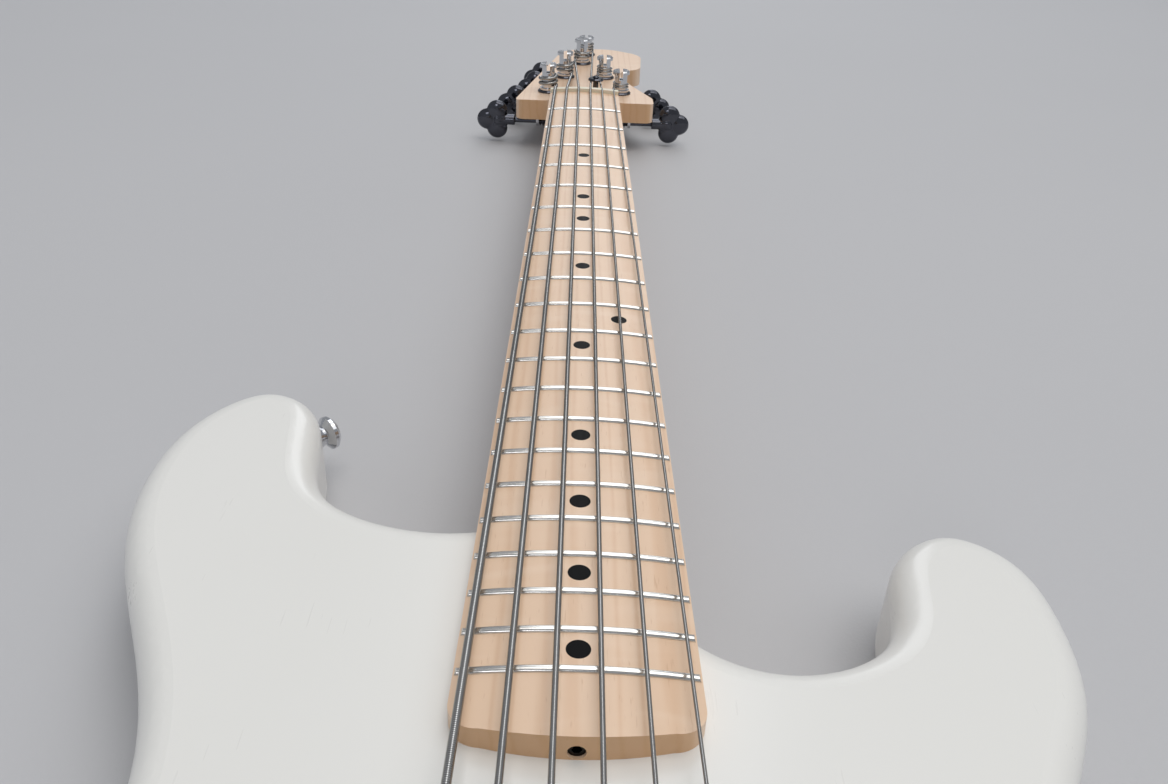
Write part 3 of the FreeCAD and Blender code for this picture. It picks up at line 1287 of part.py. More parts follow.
def knob(number):
    """A fluted knob with its grub screw and the shaft that turns with it."""
    place = knob_place(number) + UP * KNOB_GAP
    upper = KNOB_RADIUS - KNOB_FLUTE_DEPTH
    profile = [(0, 0), (KNOB_RADIUS, 0), (KNOB_RADIUS, KNOB_SKIRT), (upper, KNOB_SKIRT),
               (upper, KNOB_HEIGHT - KNOB_ROUND), (upper - KNOB_ROUND, KNOB_HEIGHT), (0, KNOB_HEIGHT)]
    solid = turned(profile, place, UP)
    flutes = []
    for flute in range(KNOB_FLUTES):
        angle = 2 * math.pi * flute / KNOB_FLUTES
        side = Vector(math.cos(angle), math.sin(angle), 0) * KNOB_RADIUS
        flutes.append(cylinder(KNOB_FLUTE_DEPTH, place + side - UP * OVERRUN, UP, KNOB_SKIRT + OVERRUN))
    solid = solid.cut(compound(flutes))
    solid = solid.cut(cylinder(KNOB_RECESS_RADIUS, place - UP * OVERRUN, UP, KNOB_RECESS_DEPTH + OVERRUN))
    top = place + UP * KNOB_HEIGHT
    pointer_low = top - Vector(KNOB_POINTER_WIDTH / 2, 0, KNOB_POINTER_DEPTH)
    pointer_high = top + Vector(KNOB_POINTER_WIDTH / 2, KNOB_RADIUS + OVERRUN, OVERRUN)
    solid = solid.cut(box(pointer_low, pointer_high))
    shaft_top = place + UP * KNOB_BORE_DEPTH
    bottom_z = CAVITY_TOP_Z + RUNNING_ROOM
    spindle = cylinder(POT_SHAFT_RADIUS, Vector(place.x, place.y, bottom_z), UP, shaft_top.z - bottom_z)
    grub_start = place + UP * GRUB_HEIGHT - ALONG * POT_SHAFT_RADIUS
    grub_way = cylinder(GRUB_RADIUS, grub_start, ALONG * -1, KNOB_RADIUS)
    grub_length = KNOB_RADIUS - POT_SHAFT_RADIUS - 2 * KNOB_FLUTE_DEPTH
    grub = cylinder(GRUB_RADIUS, grub_start, ALONG * -1, grub_length)
    socket = cylinder(GRUB_SOCKET_RADIUS, grub_start - ALONG * POT_SHAFT_RADIUS, ALONG * -1, KNOB_RADIUS)
    solid = solid.cut(spindle).cut(grub_way)
    return compound([solid, spindle.cut(grub_way), grub.cut(socket).cut(spindle)])


def potentiometer(number):
    place = knob_place(number)
    floor = Vector(place.x, place.y, CAVITY_TOP_Z)
    can = cylinder(POT_CAN_RADIUS, floor, UP * -1, POT_CAN_HEIGHT)
    neck = cylinder(POT_BUSHING_RADIUS, floor, UP, TOP_SKIN + POT_BUSHING_RISE)
    bore = cylinder(POT_SHAFT_RADIUS + RUNNING_ROOM, floor, UP, TOP_SKIN + POT_BUSHING_RISE + OVERRUN)
    washer = cylinder(POT_WASHER_RADIUS, place, UP, POT_WASHER_THICKNESS)
    nut_base = place + UP * POT_WASHER_THICKNESS
    pot_nut = hexagon(nut_base, POT_NUT_WIDTH / math.sqrt(3), ACROSS, ALONG).extrude(UP * POT_NUT_HEIGHT)
    return [can.fuse(neck).cut(bore), washer.cut(neck), pot_nut.cut(neck)]


def capacitor():
    first, second = knob_place(1), knob_place(2)
    middle = (first + second) * 0.5
    size = Vector(CAPACITOR_LENGTH, CAPACITOR_WIDTH, CAPACITOR_HEIGHT)
    low = Vector(middle.x - size.x / 2, middle.y - size.y / 2, CAVITY_TOP_Z - size.z)
    return box(low, low + size)


def wiring():
    """Leads from both pickups along the drilled ways, and from the controls to the jack and the bridge."""
    neck_route, bridge_route = pickup_place(0), pickup_place(1)
    lead_z = CHANNEL_Z - LEAD_RADIUS
    side = ACROSS * (LEAD_RADIUS + LEAD_GAP / 2)
    (start, corner), (enter, leave), (ground_top, ground_end) = channel_runs()
    heading = (leave - enter).normalize()
    across = Vector(-heading.y, heading.x, 0) * (LEAD_RADIUS + LEAD_GAP / 2)
    last_pot = knob_place(2)
    run_end = Vector(last_pot.x, last_pot.y, lead_z) - heading * (POT_CAN_RADIUS / 2)
    leads = []
    for sign, first in ((1, Vector(0, neck_route.y - PICKUP_WIDTH / 4, lead_z)),
                        (-1, Vector(0, bridge_route.y + PICKUP_WIDTH / 4, lead_z))):
        turn = Vector(enter.x, bridge_route.y, lead_z) + across * sign
        bend = Vector(0, bridge_route.y, lead_z) + side * sign + Vector(0, across.y * sign, 0)
        points = [first + side * sign, bend, turn, run_end + across * sign]
        leads.append(tube(rounded_path(points, LEAD_BEND), LEAD_RADIUS))
    point, outward = edge_place(JACK_POINT)
    jack_end = point - outward * (JACK_SEAT + JACK_LENGTH + LEAD_GAP)
    jack_run = jack_end - outward * JACK_LEAD_RUN
    middle_pot = knob_place(1)
    pot_bottom = CAVITY_TOP_Z - POT_CAN_HEIGHT
    under = Vector(middle_pot.x, middle_pot.y, pot_bottom - LEAD_GAP)
    drop = Vector(under.x, under.y, jack_end.z)
    leads.append(tube(rounded_path([jack_end, jack_run, drop, under], LEAD_BEND), LEAD_RADIUS))
    way = (ground_end - ground_top).normalize()
    inside = ground_top + way * ((OVERRUN + LEAD_RADIUS) / -way.z)
    level = math.hypot(way.x, way.y)
    stop = ground_end - way * ((POT_CAN_RADIUS + LEAD_STOP) / level)
    leads.append(tube([Part.makeLine(inside, stop)], LEAD_RADIUS))
    return compound(leads)


# Assembly: the wood is cut for the pieces that sit in it


def neck_pieces():
    blank = neck_blank()
    frets = [fret(number) for number in range(1, FRET_COUNT + 1)]
    markers = position_markers(blank)
    rod_way = truss_rod(ROD_ROOM)
    channel = strip_channel()
    strip = channel.common(blank).cut(rod_way)
    plate_screws = [small_screw(place, UP) for index in range(STRING_COUNT)
                    for place in plate_screw_places(index)]
    retainer, retainer_pin = string_retainer()
    neck_screws = [neck_screw(number) for number in range(len(NECK_SCREW_SHARES))]
    wood = blank.cut(compound(frets)).cut(markers).cut(nut_slot()).cut(rod_hole()).cut(channel).cut(rod_way)
    wood = wood.cut(compound([tuner_bore(index) for index in range(STRING_COUNT)]))
    wood = wood.cut(compound(plate_screws + [retainer_pin])).cut(compound(neck_screws))
    return {"neck": wood, "frets": compound(frets), "position_markers": markers, "truss_rod": truss_rod(0),
            "truss_rod_strip": strip, "truss_rod_nut": truss_rod_nut(), "nut": nut_with_slots(),
            "tuner_screws": compound(plate_screws), "string_retainer": compound([retainer, retainer_pin]),
            "neck_screws": compound(neck_screws),
            "tuner_bushings": compound([tuner_bushing(index) for index in range(STRING_COUNT)]),
            "tuner_plates": compound([tuner_plate(index).cut(compound(plate_screws))
                                      for index in range(STRING_COUNT)])}


def body_pieces(neck_screws):
    ferrules = compound([ferrule(number) for number in range(len(NECK_SCREW_SHARES))])
    buttons = [strap_button(HORN_POINT), strap_button(TAIL_POINT)]
    jack, jack_ways = output_jack()
    bridge_screws = [body_screw(bridge_screw_place(number), UP * -1)
                     for number in range(len(BRIDGE_SCREW_SHARES))]
    cover_screws = [cover_screw(place) for place in cover_screw_places()]
    pots = [potentiometer(number) for number in range(len(KNOB_SHARES))]
    pot_holes = [cylinder(POT_BUSHING_RADIUS, knob_place(number) - UP * (TOP_SKIN + OVERRUN), UP,
                          TOP_SKIN + 2 * OVERRUN) for number in range(len(KNOB_SHARES))]
    ferrule_holes = [ferrule_hole(number) for number in range(len(NECK_SCREW_SHARES))]
    button_screws = [pin for button, pin, seat in buttons]
    wood = body_blank().cut(neck_pocket())
    wood = wood.cut(compound([pickup_route(0), pickup_route(1)])).cut(control_cavity())
    for way in channels() + jack_ways + [seat for button, pin, seat in buttons]:
        wood = wood.cut(way)
    for holes in (pickup_screw_holes(0) + pickup_screw_holes(1), ferrule_holes, [neck_screws],
                  button_screws, bridge_screws, cover_screws, pot_holes):
        wood = wood.cut(compound(holes))
    cover = prism(cover_outline(COVER_ROOM), COVER_THICKNESS)
    cover = cover.cut(compound([cover_screw_seat(place) for place in cover_screw_places()]))
    cover = cover.cut(compound(cover_screws))
    plate = bridge_plate().cut(compound(bridge_screws))
    return {"body": wood, "neck_ferrules": ferrules,
            "strap_buttons": compound([button for button, pin, seat in buttons]),
            "output_jack": jack, "control_cover": cover, "bridge_plate": plate,
            "body_screws": compound(bridge_screws + button_screws + cover_screws),
            "potentiometers": compound([solid for pot in pots for solid in pot] + [capacitor()]),
            "wiring": wiring()}


def moving_pieces():
    pieces = {}
    thread = worm_thread()
    for index in range(STRING_COUNT):
        number = index + 1
        place = post_place(index)
        pieces[f"tuner_post_{number}"] = compound([tuner_post(index), gear(place), gear_screw(place)])
        pieces[f"tuner_key_{number}"] = tuner_key(index, thread)
        pieces[f"saddle_{number}"] = saddle(index)
        pieces[f"intonation_screw_{number}"] = intonation_screw(index)
        pieces[f"string_{number}"] = string(index)
    for number, name in enumerate(("neck_pickup", "bridge_pickup")):
        pieces[f"{name}_cover"] = pickup_cover(number)
        pieces[f"{name}_core"] = pickup_core(number)
        pieces[f"{name}_screws"] = pickup_screws(number)
    for number, name in enumerate(("neck_volume_knob", "bridge_volume_knob", "tone_knob")):
        pieces[name] = knob(number)
    return pieces


def main():
    os.makedirs("parts", exist_ok=True)
    pieces = neck_pieces()
    pieces.update(body_pieces(pieces["neck_screws"]))
    pieces.update(moving_pieces())
    for index in range(STRING_COUNT):
        print("string", index + 1, "least gap between turns", round(least_coil_gap(index), 3))
    for name, shape in pieces.items():
        print(name, "solids", len(shape.Solids), "valid", shape.isValid(), "volume", round(shape.Volume, 1))
        shape.exportStep(f"parts/{name}.step")
    print("nodes", len(pieces))


main()
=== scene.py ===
import json
import math

import bmesh
import bpy
from mathutils import Matrix, Vector


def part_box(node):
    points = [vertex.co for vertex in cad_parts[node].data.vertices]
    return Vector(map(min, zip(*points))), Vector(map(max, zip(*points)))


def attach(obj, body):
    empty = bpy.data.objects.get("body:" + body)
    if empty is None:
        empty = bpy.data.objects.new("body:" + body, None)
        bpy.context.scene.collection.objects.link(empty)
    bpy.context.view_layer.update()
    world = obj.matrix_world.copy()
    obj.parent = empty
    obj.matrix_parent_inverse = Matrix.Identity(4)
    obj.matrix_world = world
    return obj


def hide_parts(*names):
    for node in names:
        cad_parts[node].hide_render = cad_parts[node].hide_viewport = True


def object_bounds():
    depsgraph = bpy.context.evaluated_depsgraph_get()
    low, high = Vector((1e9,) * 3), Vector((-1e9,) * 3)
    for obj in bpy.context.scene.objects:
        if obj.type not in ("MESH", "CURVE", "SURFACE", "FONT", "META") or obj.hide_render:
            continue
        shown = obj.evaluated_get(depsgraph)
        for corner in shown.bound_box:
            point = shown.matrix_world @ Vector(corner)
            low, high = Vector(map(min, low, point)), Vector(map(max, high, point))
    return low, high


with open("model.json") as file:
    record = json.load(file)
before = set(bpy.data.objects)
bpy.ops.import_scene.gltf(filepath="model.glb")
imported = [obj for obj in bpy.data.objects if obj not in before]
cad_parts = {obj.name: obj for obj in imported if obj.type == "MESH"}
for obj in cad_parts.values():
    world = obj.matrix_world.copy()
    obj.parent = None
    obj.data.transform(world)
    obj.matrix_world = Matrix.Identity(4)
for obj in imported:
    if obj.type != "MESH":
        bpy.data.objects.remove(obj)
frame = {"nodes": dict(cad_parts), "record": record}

CAD_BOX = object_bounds()

# A six-string electric bass guitar lying on its back, in metres, in the frame of the solids: +X is the treble
# side, +Y points to the headstock, +Z is the front.
MICRON = 0.000001

# Strings, from the bass side
STRING_GAUGES = (0.00267, 0.00216, 0.0019, 0.00165, 0.0014, 0.00115)
STRING_COUNT = len(STRING_GAUGES)
NUT_SPREAD = 0.0465
SADDLE_SPREAD = 0.0685
CAMBER_RADIUS = 0.241
ACTION_AT_NUT = 0.0014
ACTION_AT_SADDLE = 0.0056
STRING_BEND = 0.009
BEND_STEPS = 8

# The wrap of a string, as shares of its gauge
WRAP_PITCH_SHARE = 0.24
WRAP_GROOVE_SHARE = 0.13
WRAP_SIDES = 10

# Turns of a string on its post; a side of one winds counterclockwise, seen from the front
POST_RADIUS = 0.0052
FLANGE_ABOVE_BUSHING = 0.00165
COIL_ROOM = 0.00035
COIL_GAP = 0.00075
COIL_TURNS = 2.25
COIL_STEPS = 40
COIL_LEAD_IN = 0.005
COIL_RISE_SHARE = 1.15
COIL_RAMP = math.pi / 2
COIL_SIDES = (1, 1, -1, 1, -1, -1)

# Ball ends behind the bridge
BALL_RADIUS = 0.0028
BALL_ROOM = 0.0001
BALL_LENGTH = 0.005
BALL_WALL = 0.0016
BALL_EDGE = 0.0005
BALL_EDGE_STEPS = 4
BALL_SIDES = 28

# Tuner keys, each cast in one with its collar: three lobes, and a short stub that enters the shaft
KEY_LOBE_RADIUS = 0.0086
KEY_HALF_THICKNESS = 0.0026
KEY_SPREAD = 0.0072
KEY_TIP_REACH = 0.0081
KEY_CROWN = 0.002
KEY_LENGTH = 0.0321
KEY_STUB = 0.0005
KEY_GRAIN = 0.0004
KEY_SOFTENING_ROUNDS = 6
KEY_SOFTENING_SHARE = 0.5
KEY_SHARP_ANGLE = 40.0
MERGE_DISTANCE = MICRON

# Camera
PHOTO_WIDTH = 1168
PHOTO_FOCAL_PIXELS = 1006.43
SENSOR_WIDTH = 36.0
CAMERA_PLACE = (-0.005474, 0.058176, 0.263434)
CAMERA_DOWN = 31.224
CAMERA_YAW = 1.0885
CAMERA_ROLL = 2.4586
CAMERA_NEAREST = 0.01

# Studio
FLOOR_HALF = 8.0
FLOOR_TONE = (190, 190, 192)
FLOOR_PALE_TONE = (195, 195, 197)
WORLD_TONE = (236, 240, 246)
WORLD_STRENGTH = 0.4
# An even light from high up, which reaches the far floor too
SKY_FROM = (0.4, -0.05, 1.0)
SKY_STRENGTH = 0.8
SKY_SPREAD = 60.0
# name, place, aim, width, height, watts, tone
LAMPS = (
    ("key_softbox", (0.3, 0.15, 1.8), (0, 0.2, 0), 1.4, 1.2, 7.5, (255, 250, 244)),
    ("head_strip", (0.15, 2.3, 1.7), (0, 0.4, 0.1), 0.9, 2.6, 12.0, (248, 251, 255)),
    ("rear_fill", (-0.3, -1.2, 0.8), (0, 0.6, 0), 0.4, 0.4, 1.6, (250, 250, 255)),
)

# name, darker tone, paler tone, roughness, stretch of the polishing lines, roughness added by smudges
METALS = (
    ("fret_wire", (202, 200, 196), (226, 224, 219), 0.16, (0.04, 1.0, 1.0), 0.12),
    ("steel", (150, 150, 152), (184, 184, 186), 0.26, (1.0, 1.0, 0.05), 0.2),
    ("chrome", (196, 197, 200), (222, 223, 226), 0.06, (1.0, 0.08, 1.0), 0.14),
    # black_chrome: the keys are chrome; their dark tone is a painted dark reflection, as of chrome that mirrors a
    # dark room
    ("black_chrome", (68, 69, 75), (96, 97, 104), 0.07, (1.0, 0.08, 1.0), 0.12),
    ("blackened_steel", (30, 29, 29), (52, 50, 49), 0.3, (1.0, 1.0, 0.05), 0.2),
    ("ball_brass", (176, 140, 78), (214, 178, 104), 0.2, (0.05, 1.0, 1.0), 0.2),
)
# Nodes with a finish of their own; all others take that of their slot
OWN_FINISHES = {"truss_rod_nut": "blackened_steel"}

# Sockets that are found by their place in a node
NORMAL_COORDINATE = 1
OBJECT_COORDINATE = 3
MIX_SHARE = 0
MIX_FIRST = 6
MIX_SECOND = 7
MIXED_TONE = 2
WAVE_VALUE = 1
ATTRIBUTE_VALUE = 2
LENGTHWISE = 1


def linear(tone):
    """A screen tone from 0 to 255 as the linear colour that a shader takes."""
    shares = [value / 255 for value in tone]
    return tuple(s / 12.92 if s <= 0.04045 else ((s + 0.055) / 1.055) ** 2.4 for s in shares) + (1.0,)


class Value:
    """A node's output that takes part in Python arithmetic."""

    def __init__(self, graph, socket):
        self.graph = graph
        self.socket = socket

    def maths(self, operation, first, second):
        return self.graph.node("ShaderNodeMath", {"operation": operation}, {0: first, 1: second})[0]

    def __add__(self, other):
        return self.maths("ADD", self, other)

    def __radd__(self, other):
        return self.maths("ADD", other, self)

    def __sub__(self, other):
        return self.maths("SUBTRACT", self, other)

    def __mul__(self, other):
        return self.maths("MULTIPLY", self, other)

    def __truediv__(self, other):
        return self.maths("DIVIDE", self, other)

    def __pow__(self, other):
        return self.maths("POWER", self, other)

    def __mod__(self, other):
        return self.maths("FLOORED_MODULO", self, other)


class Graph:
    """A node tree that is written as calls and expressions."""

    def __init__(self, tree):
        self.tree = tree

    def node(self, kind, settings=None, values=None):
        """A node with its settings set first, then its sockets; gives its outputs in order."""
        made = self.tree.nodes.new(kind)
        for name, setting in (settings or {}).items():
            setattr(made, name, setting)
        for name, value in (values or {}).items():
            if isinstance(value, Value):
                self.tree.links.new(value.socket, made.inputs[name])
            else:
                made.inputs[name].default_value = value
        return [Value(self, socket) for socket in made.outputs]


class Finish(Graph):
    """A material for one of the instrument's surfaces."""

    def __init__(self, name):
        self.material = bpy.data.materials.new(name)
        self.material.use_nodes = True
        self.material.node_tree.nodes.clear()
        super().__init__(self.material.node_tree)
        coordinates = self.node("ShaderNodeTexCoord")
        self.facing = coordinates[NORMAL_COORDINATE]
        self.place = coordinates[OBJECT_COORDINATE]

    def stretched(self, scale):
        return self.node("ShaderNodeMapping", None, {"Vector": self.place, "Scale": scale})[0]

    def noise(self, per_metre, detail=4.0, rough=0.55, along=None, warp=0.0):
        """Cloudy values from 0 to 1, with so many clouds to the metre."""
        place = self.stretched(along) if along else self.place
        return self.node("ShaderNodeTexNoise", None, {
            "Vector": place, "Scale": per_metre, "Detail": detail, "Roughness": rough, "Distortion": warp})[0]

    def between(self, value, low, high):
        """Zero below low, one above high, smooth between."""
        return self.node("ShaderNodeMapRange", {"interpolation_type": "SMOOTHSTEP"}, {
            "Value": value, "From Min": low, "From Max": high})[0]

    def mix(self, share, first, second):
        """A tone between two, each given as a value or as a screen tone."""
        first, second = (side if isinstance(side, Value) else linear(side) for side in (first, second))
        return self.node("ShaderNodeMix", {"data_type": "RGBA"}, {
            MIX_SHARE: share, MIX_FIRST: first, MIX_SECOND: second})[MIXED_TONE]

    def end_grain_and_shade(self):
        """One on faces across the length of the instrument, zero on those along it."""
        along = self.node("ShaderNodeSeparateXYZ", None, {"Vector": self.facing})[LENGTHWISE]
        return self.between(along * along, low=0.3, high=0.8)

    def bump(self, height, depth):
        return self.node("ShaderNodeBump", None, {"Strength": 1.0, "Distance": depth, "Height": height})[0]

    def surface(self, **sockets):
        values = {name.replace("_", " ").title().replace("Ior", "IOR"): value for name, value in sockets.items()}
        shader = self.node("ShaderNodeBsdfPrincipled", None, values)[0]
        self.node("ShaderNodeOutputMaterial", None, {"Surface": shader})
        return self.material


def body_lacquer():
    """Warm white lacquer, polished, with a trace of orange peel and of hand marks."""
    finish = Finish("body_lacquer")
    clouds = finish.noise(per_metre=7, detail=3)
    marks = finish.noise(per_metre=26, detail=3)
    hairlines = finish.noise(per_metre=900, detail=2, along=(1.0, 0.05, 1.0))
    peel = finish.noise(per_metre=300, detail=1)
    return finish.surface(
        base_color=finish.mix(clouds, (233, 232, 227), (237, 236, 232)),
        roughness=0.24 + marks * 0.05 + hairlines * 0.05, coat_weight=0.3, coat_roughness=0.14,
        normal=finish.bump(peel, depth=10 * MICRON))


def maple():
    """Pale maple under a satin finish, with its grain along the neck, a painted sheen across it, and darker end
    faces: partly the end grain's own tone, partly painted shade.
    """
    finish = Finish("maple")
    figure = finish.noise(per_metre=24, detail=3, along=(1.0, 0.16, 1.0), warp=0.5)
    late = finish.node("ShaderNodeTexWave", {"bands_direction": "X"}, {
        "Vector": finish.stretched((1.0, 0.045, 0.6)), "Scale": 46.0, "Distortion": 9.0, "Detail": 3.0,
        "Detail Scale": 1.1})[WAVE_VALUE]
    fibre = finish.noise(per_metre=520, detail=5, rough=0.6, along=(1.0, 0.045, 1.0))
    flecks = finish.between(finish.noise(per_metre=1500, detail=2, along=(1.0, 0.085, 1.0)), low=0.63, high=0.75)
    # painted sheen: paler bands across the neck stand in for the light sheen of figured maple
    painted_flame_sheen = finish.noise(per_metre=60, detail=2, along=(0.35, 1.0, 0.35), warp=0.8)
    tone = finish.mix(figure, (240, 211, 184), (229, 195, 163))
    tone = finish.mix(late ** 5 * 0.34, tone, (210, 166, 126))
    tone = finish.mix(flecks * 0.32, tone, (190, 144, 106))
    tone = finish.mix(finish.between(painted_flame_sheen, low=0.5, high=0.75) * 0.3, tone, (244, 220, 196))
    # end faces darkened: partly the end grain's own tone, partly painted shade on faces that face along the neck
    tone = finish.mix(finish.end_grain_and_shade() * 0.6, tone, (206, 154, 96))
    return finish.surface(
        base_color=tone, roughness=0.36 + fibre * 0.14 - late * 0.05, coat_weight=0.18, coat_roughness=0.22,
        normal=finish.bump(fibre - flecks * 0.6, depth=30 * MICRON))


def dark_wood():
    """The oiled dark strip along the back of the neck."""
    finish = Finish("dark_wood")
    fibre = finish.noise(per_metre=600, detail=5, along=(1.0, 0.05, 1.0))
    bands = finish.noise(per_metre=140, detail=3, along=(1.0, 0.06, 1.0), warp=0.4)
    tone = finish.mix(bands, (58, 36, 26), (112, 72, 48))
    tone = finish.mix(finish.between(fibre, low=0.58, high=0.75) * 0.7, tone, (36, 22, 17))
    return finish.surface(
        base_color=tone, roughness=0.38 + fibre * 0.2, normal=finish.bump(fibre, depth=50 * MICRON))


def polished_metal(name, dark, pale, rough, streaks, smudge_share):
    """A plated or polished metal: fine streaks one way, faint smudges, and a tone that shifts a little."""
    finish = Finish(name)
    smudges = finish.noise(per_metre=130, detail=4, rough=0.65)
    lines = finish.noise(per_metre=2600, detail=2, along=streaks)
    dulled = finish.between(smudges, low=0.45, high=0.8) * smudge_share
    return finish.surface(
        base_color=finish.mix(smudges, dark, pale), metallic=1.0, roughness=rough + dulled + lines * 0.05,
        normal=finish.bump(lines, depth=4 * MICRON))


def string_steel():
    """Round-wound nickel steel: bright on the crowns of the wrap, dull in its grooves, and darkened there with
    painted shade.
    """
    finish = Finish("string_steel")
    groove = finish.node("ShaderNodeAttribute", {"attribute_name": "groove"})[ATTRIBUTE_VALUE]
    wear = finish.noise(per_metre=70, detail=4)
    grain = finish.noise(per_metre=5000, detail=2)
    tone = finish.mix(wear, (196, 194, 191), (222, 220, 216))
    # painted shade: the grooves of the wrap are darkened in colour, where shade would fall between the windings
    tone = finish.mix(groove * 0.8, tone, (50, 49, 49))
    return finish.surface(
        base_color=tone, metallic=1.0, roughness=0.12 + groove * 0.2 + wear * 0.08,
        normal=finish.bump(grain, depth=6 * MICRON))


def black_inlay():
    """The black position dots, buffed level with the board."""
    finish = Finish("black_inlay")
    buffed = finish.noise(per_metre=900, detail=3, along=(1.0, 0.1, 1.0))
    return finish.surface(
        base_color=finish.mix(buffed, (4, 4, 5), (12, 12, 12)), roughness=0.36 + buffed * 0.2,
        specular_ior_level=0.08, normal=finish.bump(buffed, depth=10 * MICRON))


def black_plastic():
    """Moulded black plastic with a fine even grain and a few rubbed places."""
    finish = Finish("black_plastic")
    grain = finish.noise(per_metre=2400, detail=2, rough=0.5)
    rubbed = finish.between(finish.noise(per_metre=45, detail=4), low=0.52, high=0.78)
    return finish.surface(
        base_color=finish.mix(rubbed, (24, 24, 25), (44, 44, 46)), roughness=0.5 + grain * 0.14 - rubbed * 0.16,
        normal=finish.bump(grain, depth=30 * MICRON))


def pale_nut():
    """The pale nut, with faint streaks along its length."""
    finish = Finish("pale_nut")
    streaks = finish.noise(per_metre=420, detail=4, along=(0.12, 1.0, 1.0))
    return finish.surface(
        base_color=finish.mix(streaks, (219, 209, 184), (240, 233, 214)), roughness=0.34 + streaks * 0.16,
        subsurface_weight=0.12, subsurface_scale=0.002, normal=finish.bump(streaks, depth=10 * MICRON))


def lead_insulation():
    """Matt rubber on the leads in the control cavity."""
    finish = Finish("lead_insulation")
    dust = finish.noise(per_metre=320, detail=4)
    return finish.surface(
        base_color=finish.mix(dust, (26, 26, 27), (58, 57, 56)), roughness=0.62 + dust * 0.2,
        normal=finish.bump(dust, depth=40 * MICRON))


def floor_card():
    """A plain pale studio floor."""
    finish = Finish("floor_card")
    clouds = finish.noise(per_metre=1.5, detail=3)
    fibres = finish.noise(per_metre=700, detail=3)
    return finish.surface(
        base_color=finish.mix(clouds, FLOOR_TONE, FLOOR_PALE_TONE), roughness=0.82 + fibres * 0.1,
        normal=finish.bump(fibres, depth=80 * MICRON))


FINISHES = {make.__name__: make() for make in (
    body_lacquer, maple, dark_wood, string_steel, black_inlay, black_plastic, pale_nut, lead_insulation)}
FINISHES.update((metal[0], polished_metal(*metal)) for metal in METALS)


def dress_nodes():
    """Every solid takes the finish of its slot, unless it has one of its own. Its shape stays."""
    for part in frame["record"]["subparts"]:
        materials = frame["nodes"][part["node"]].data.materials
        materials.clear()
        materials.append(FINISHES[OWN_FINISHES.get(part["node"], part["material_slot"])])


def placed(name, data):
    """A new object in the scene, at the origin."""
    made = bpy.data.objects.new(name, data)
    bpy.context.scene.collection.objects.link(made)
    return made


def evaluated_mesh(host):
    """What an object's modifiers make of it, as a mesh of its own; the object and its mesh go."""
    made = bpy.data.meshes.new_from_object(host.evaluated_get(bpy.context.evaluated_depsgraph_get()))
    start = host.data
    bpy.data.objects.remove(host)
    bpy.data.meshes.remove(start)
    return made


def tree_with_inputs(name, inputs):
    """An empty geometry tree whose group inputs have names; gives the graph and its input values."""
    tree = bpy.data.node_groups.new(name, "GeometryNodeTree")
    tree.interface.new_socket("Geometry", in_out="INPUT", socket_type="NodeSocketGeometry")
    for label, kind in inputs:
        tree.interface.new_socket(label, in_out="INPUT", socket_type=kind)
    tree.interface.new_socket("Geometry", in_out="OUTPUT", socket_type="NodeSocketGeometry")
    graph = Graph(tree)
    return graph, graph.node("NodeGroupInput")[:len(inputs) + 1]


def end_tree(graph, geometry, material):
    """Realizes, smooths and finishes the geometry, and sends it out of the tree."""
    realized = graph.node("GeometryNodeRealizeInstances", None, {"Geometry": geometry})[0]
    smooth = graph.node("GeometryNodeSetShadeSmooth", None, {"Geometry": realized})[0]
    finished = graph.node("GeometryNodeSetMaterial", None, {"Geometry": smooth, "Material": material})[0]
    graph.node("NodeGroupOutput", None, {0: finished})
    return graph.tree


def grown(name, points, edges, tree, sizes):
    """A plain mesh object grown by a geometry tree from points and edges."""
    seed = bpy.data.meshes.new(name + "_seed")
    seed.from_pydata(points, edges, [])
    host = placed(name + "_seed", seed)
    modifier = host.modifiers.new("grow", "NODES")
    modifier.node_group = tree
    for item in tree.interface.items_tree:
        if item.in_out == "INPUT" and item.name in sizes:
            modifier[item.identifier] = sizes[item.name]
    mesh = evaluated_mesh(host)
    mesh.name = name
    return placed(name, mesh)


def wound_string_tree():
    """A wrap wire around a path: rings that alternate between crown and groove, half a pitch apart."""
    graph, (path, gauge, pitch, depth, sides, material) = tree_with_inputs("wound_string", (
        ("Gauge", "NodeSocketFloat"), ("Pitch", "NodeSocketFloat"), ("Groove Depth", "NodeSocketFloat"),
        ("Sides", "NodeSocketInt"), ("Finish", "NodeSocketMaterial")))
    curve = graph.node("GeometryNodeMeshToCurve", None, {"Mesh": path})[0]
    rings = graph.node("GeometryNodeResampleCurve", {"mode": "LENGTH"}, {"Curve": curve, "Length": pitch / 2})[0]
    groove = graph.node("GeometryNodeInputIndex")[0] % 2
    # the groove mark also darkens the grooves in the string's colour, as painted shade
    marked = graph.node("GeometryNodeStoreNamedAttribute", {"data_type": "FLOAT", "domain": "POINT"}, {
        "Geometry": rings, "Name": "groove", "Value": groove})[0]
    ring = graph.node("GeometryNodeCurvePrimitiveCircle", None, {"Resolution": sides, "Radius": 1.0})[0]
    wrap = graph.node("GeometryNodeCurveToMesh", None, {
        "Curve": marked, "Profile Curve": ring, "Scale": gauge / 2 - groove * depth, "Fill Caps": True})[0]
    return end_tree(graph, wrap, material)


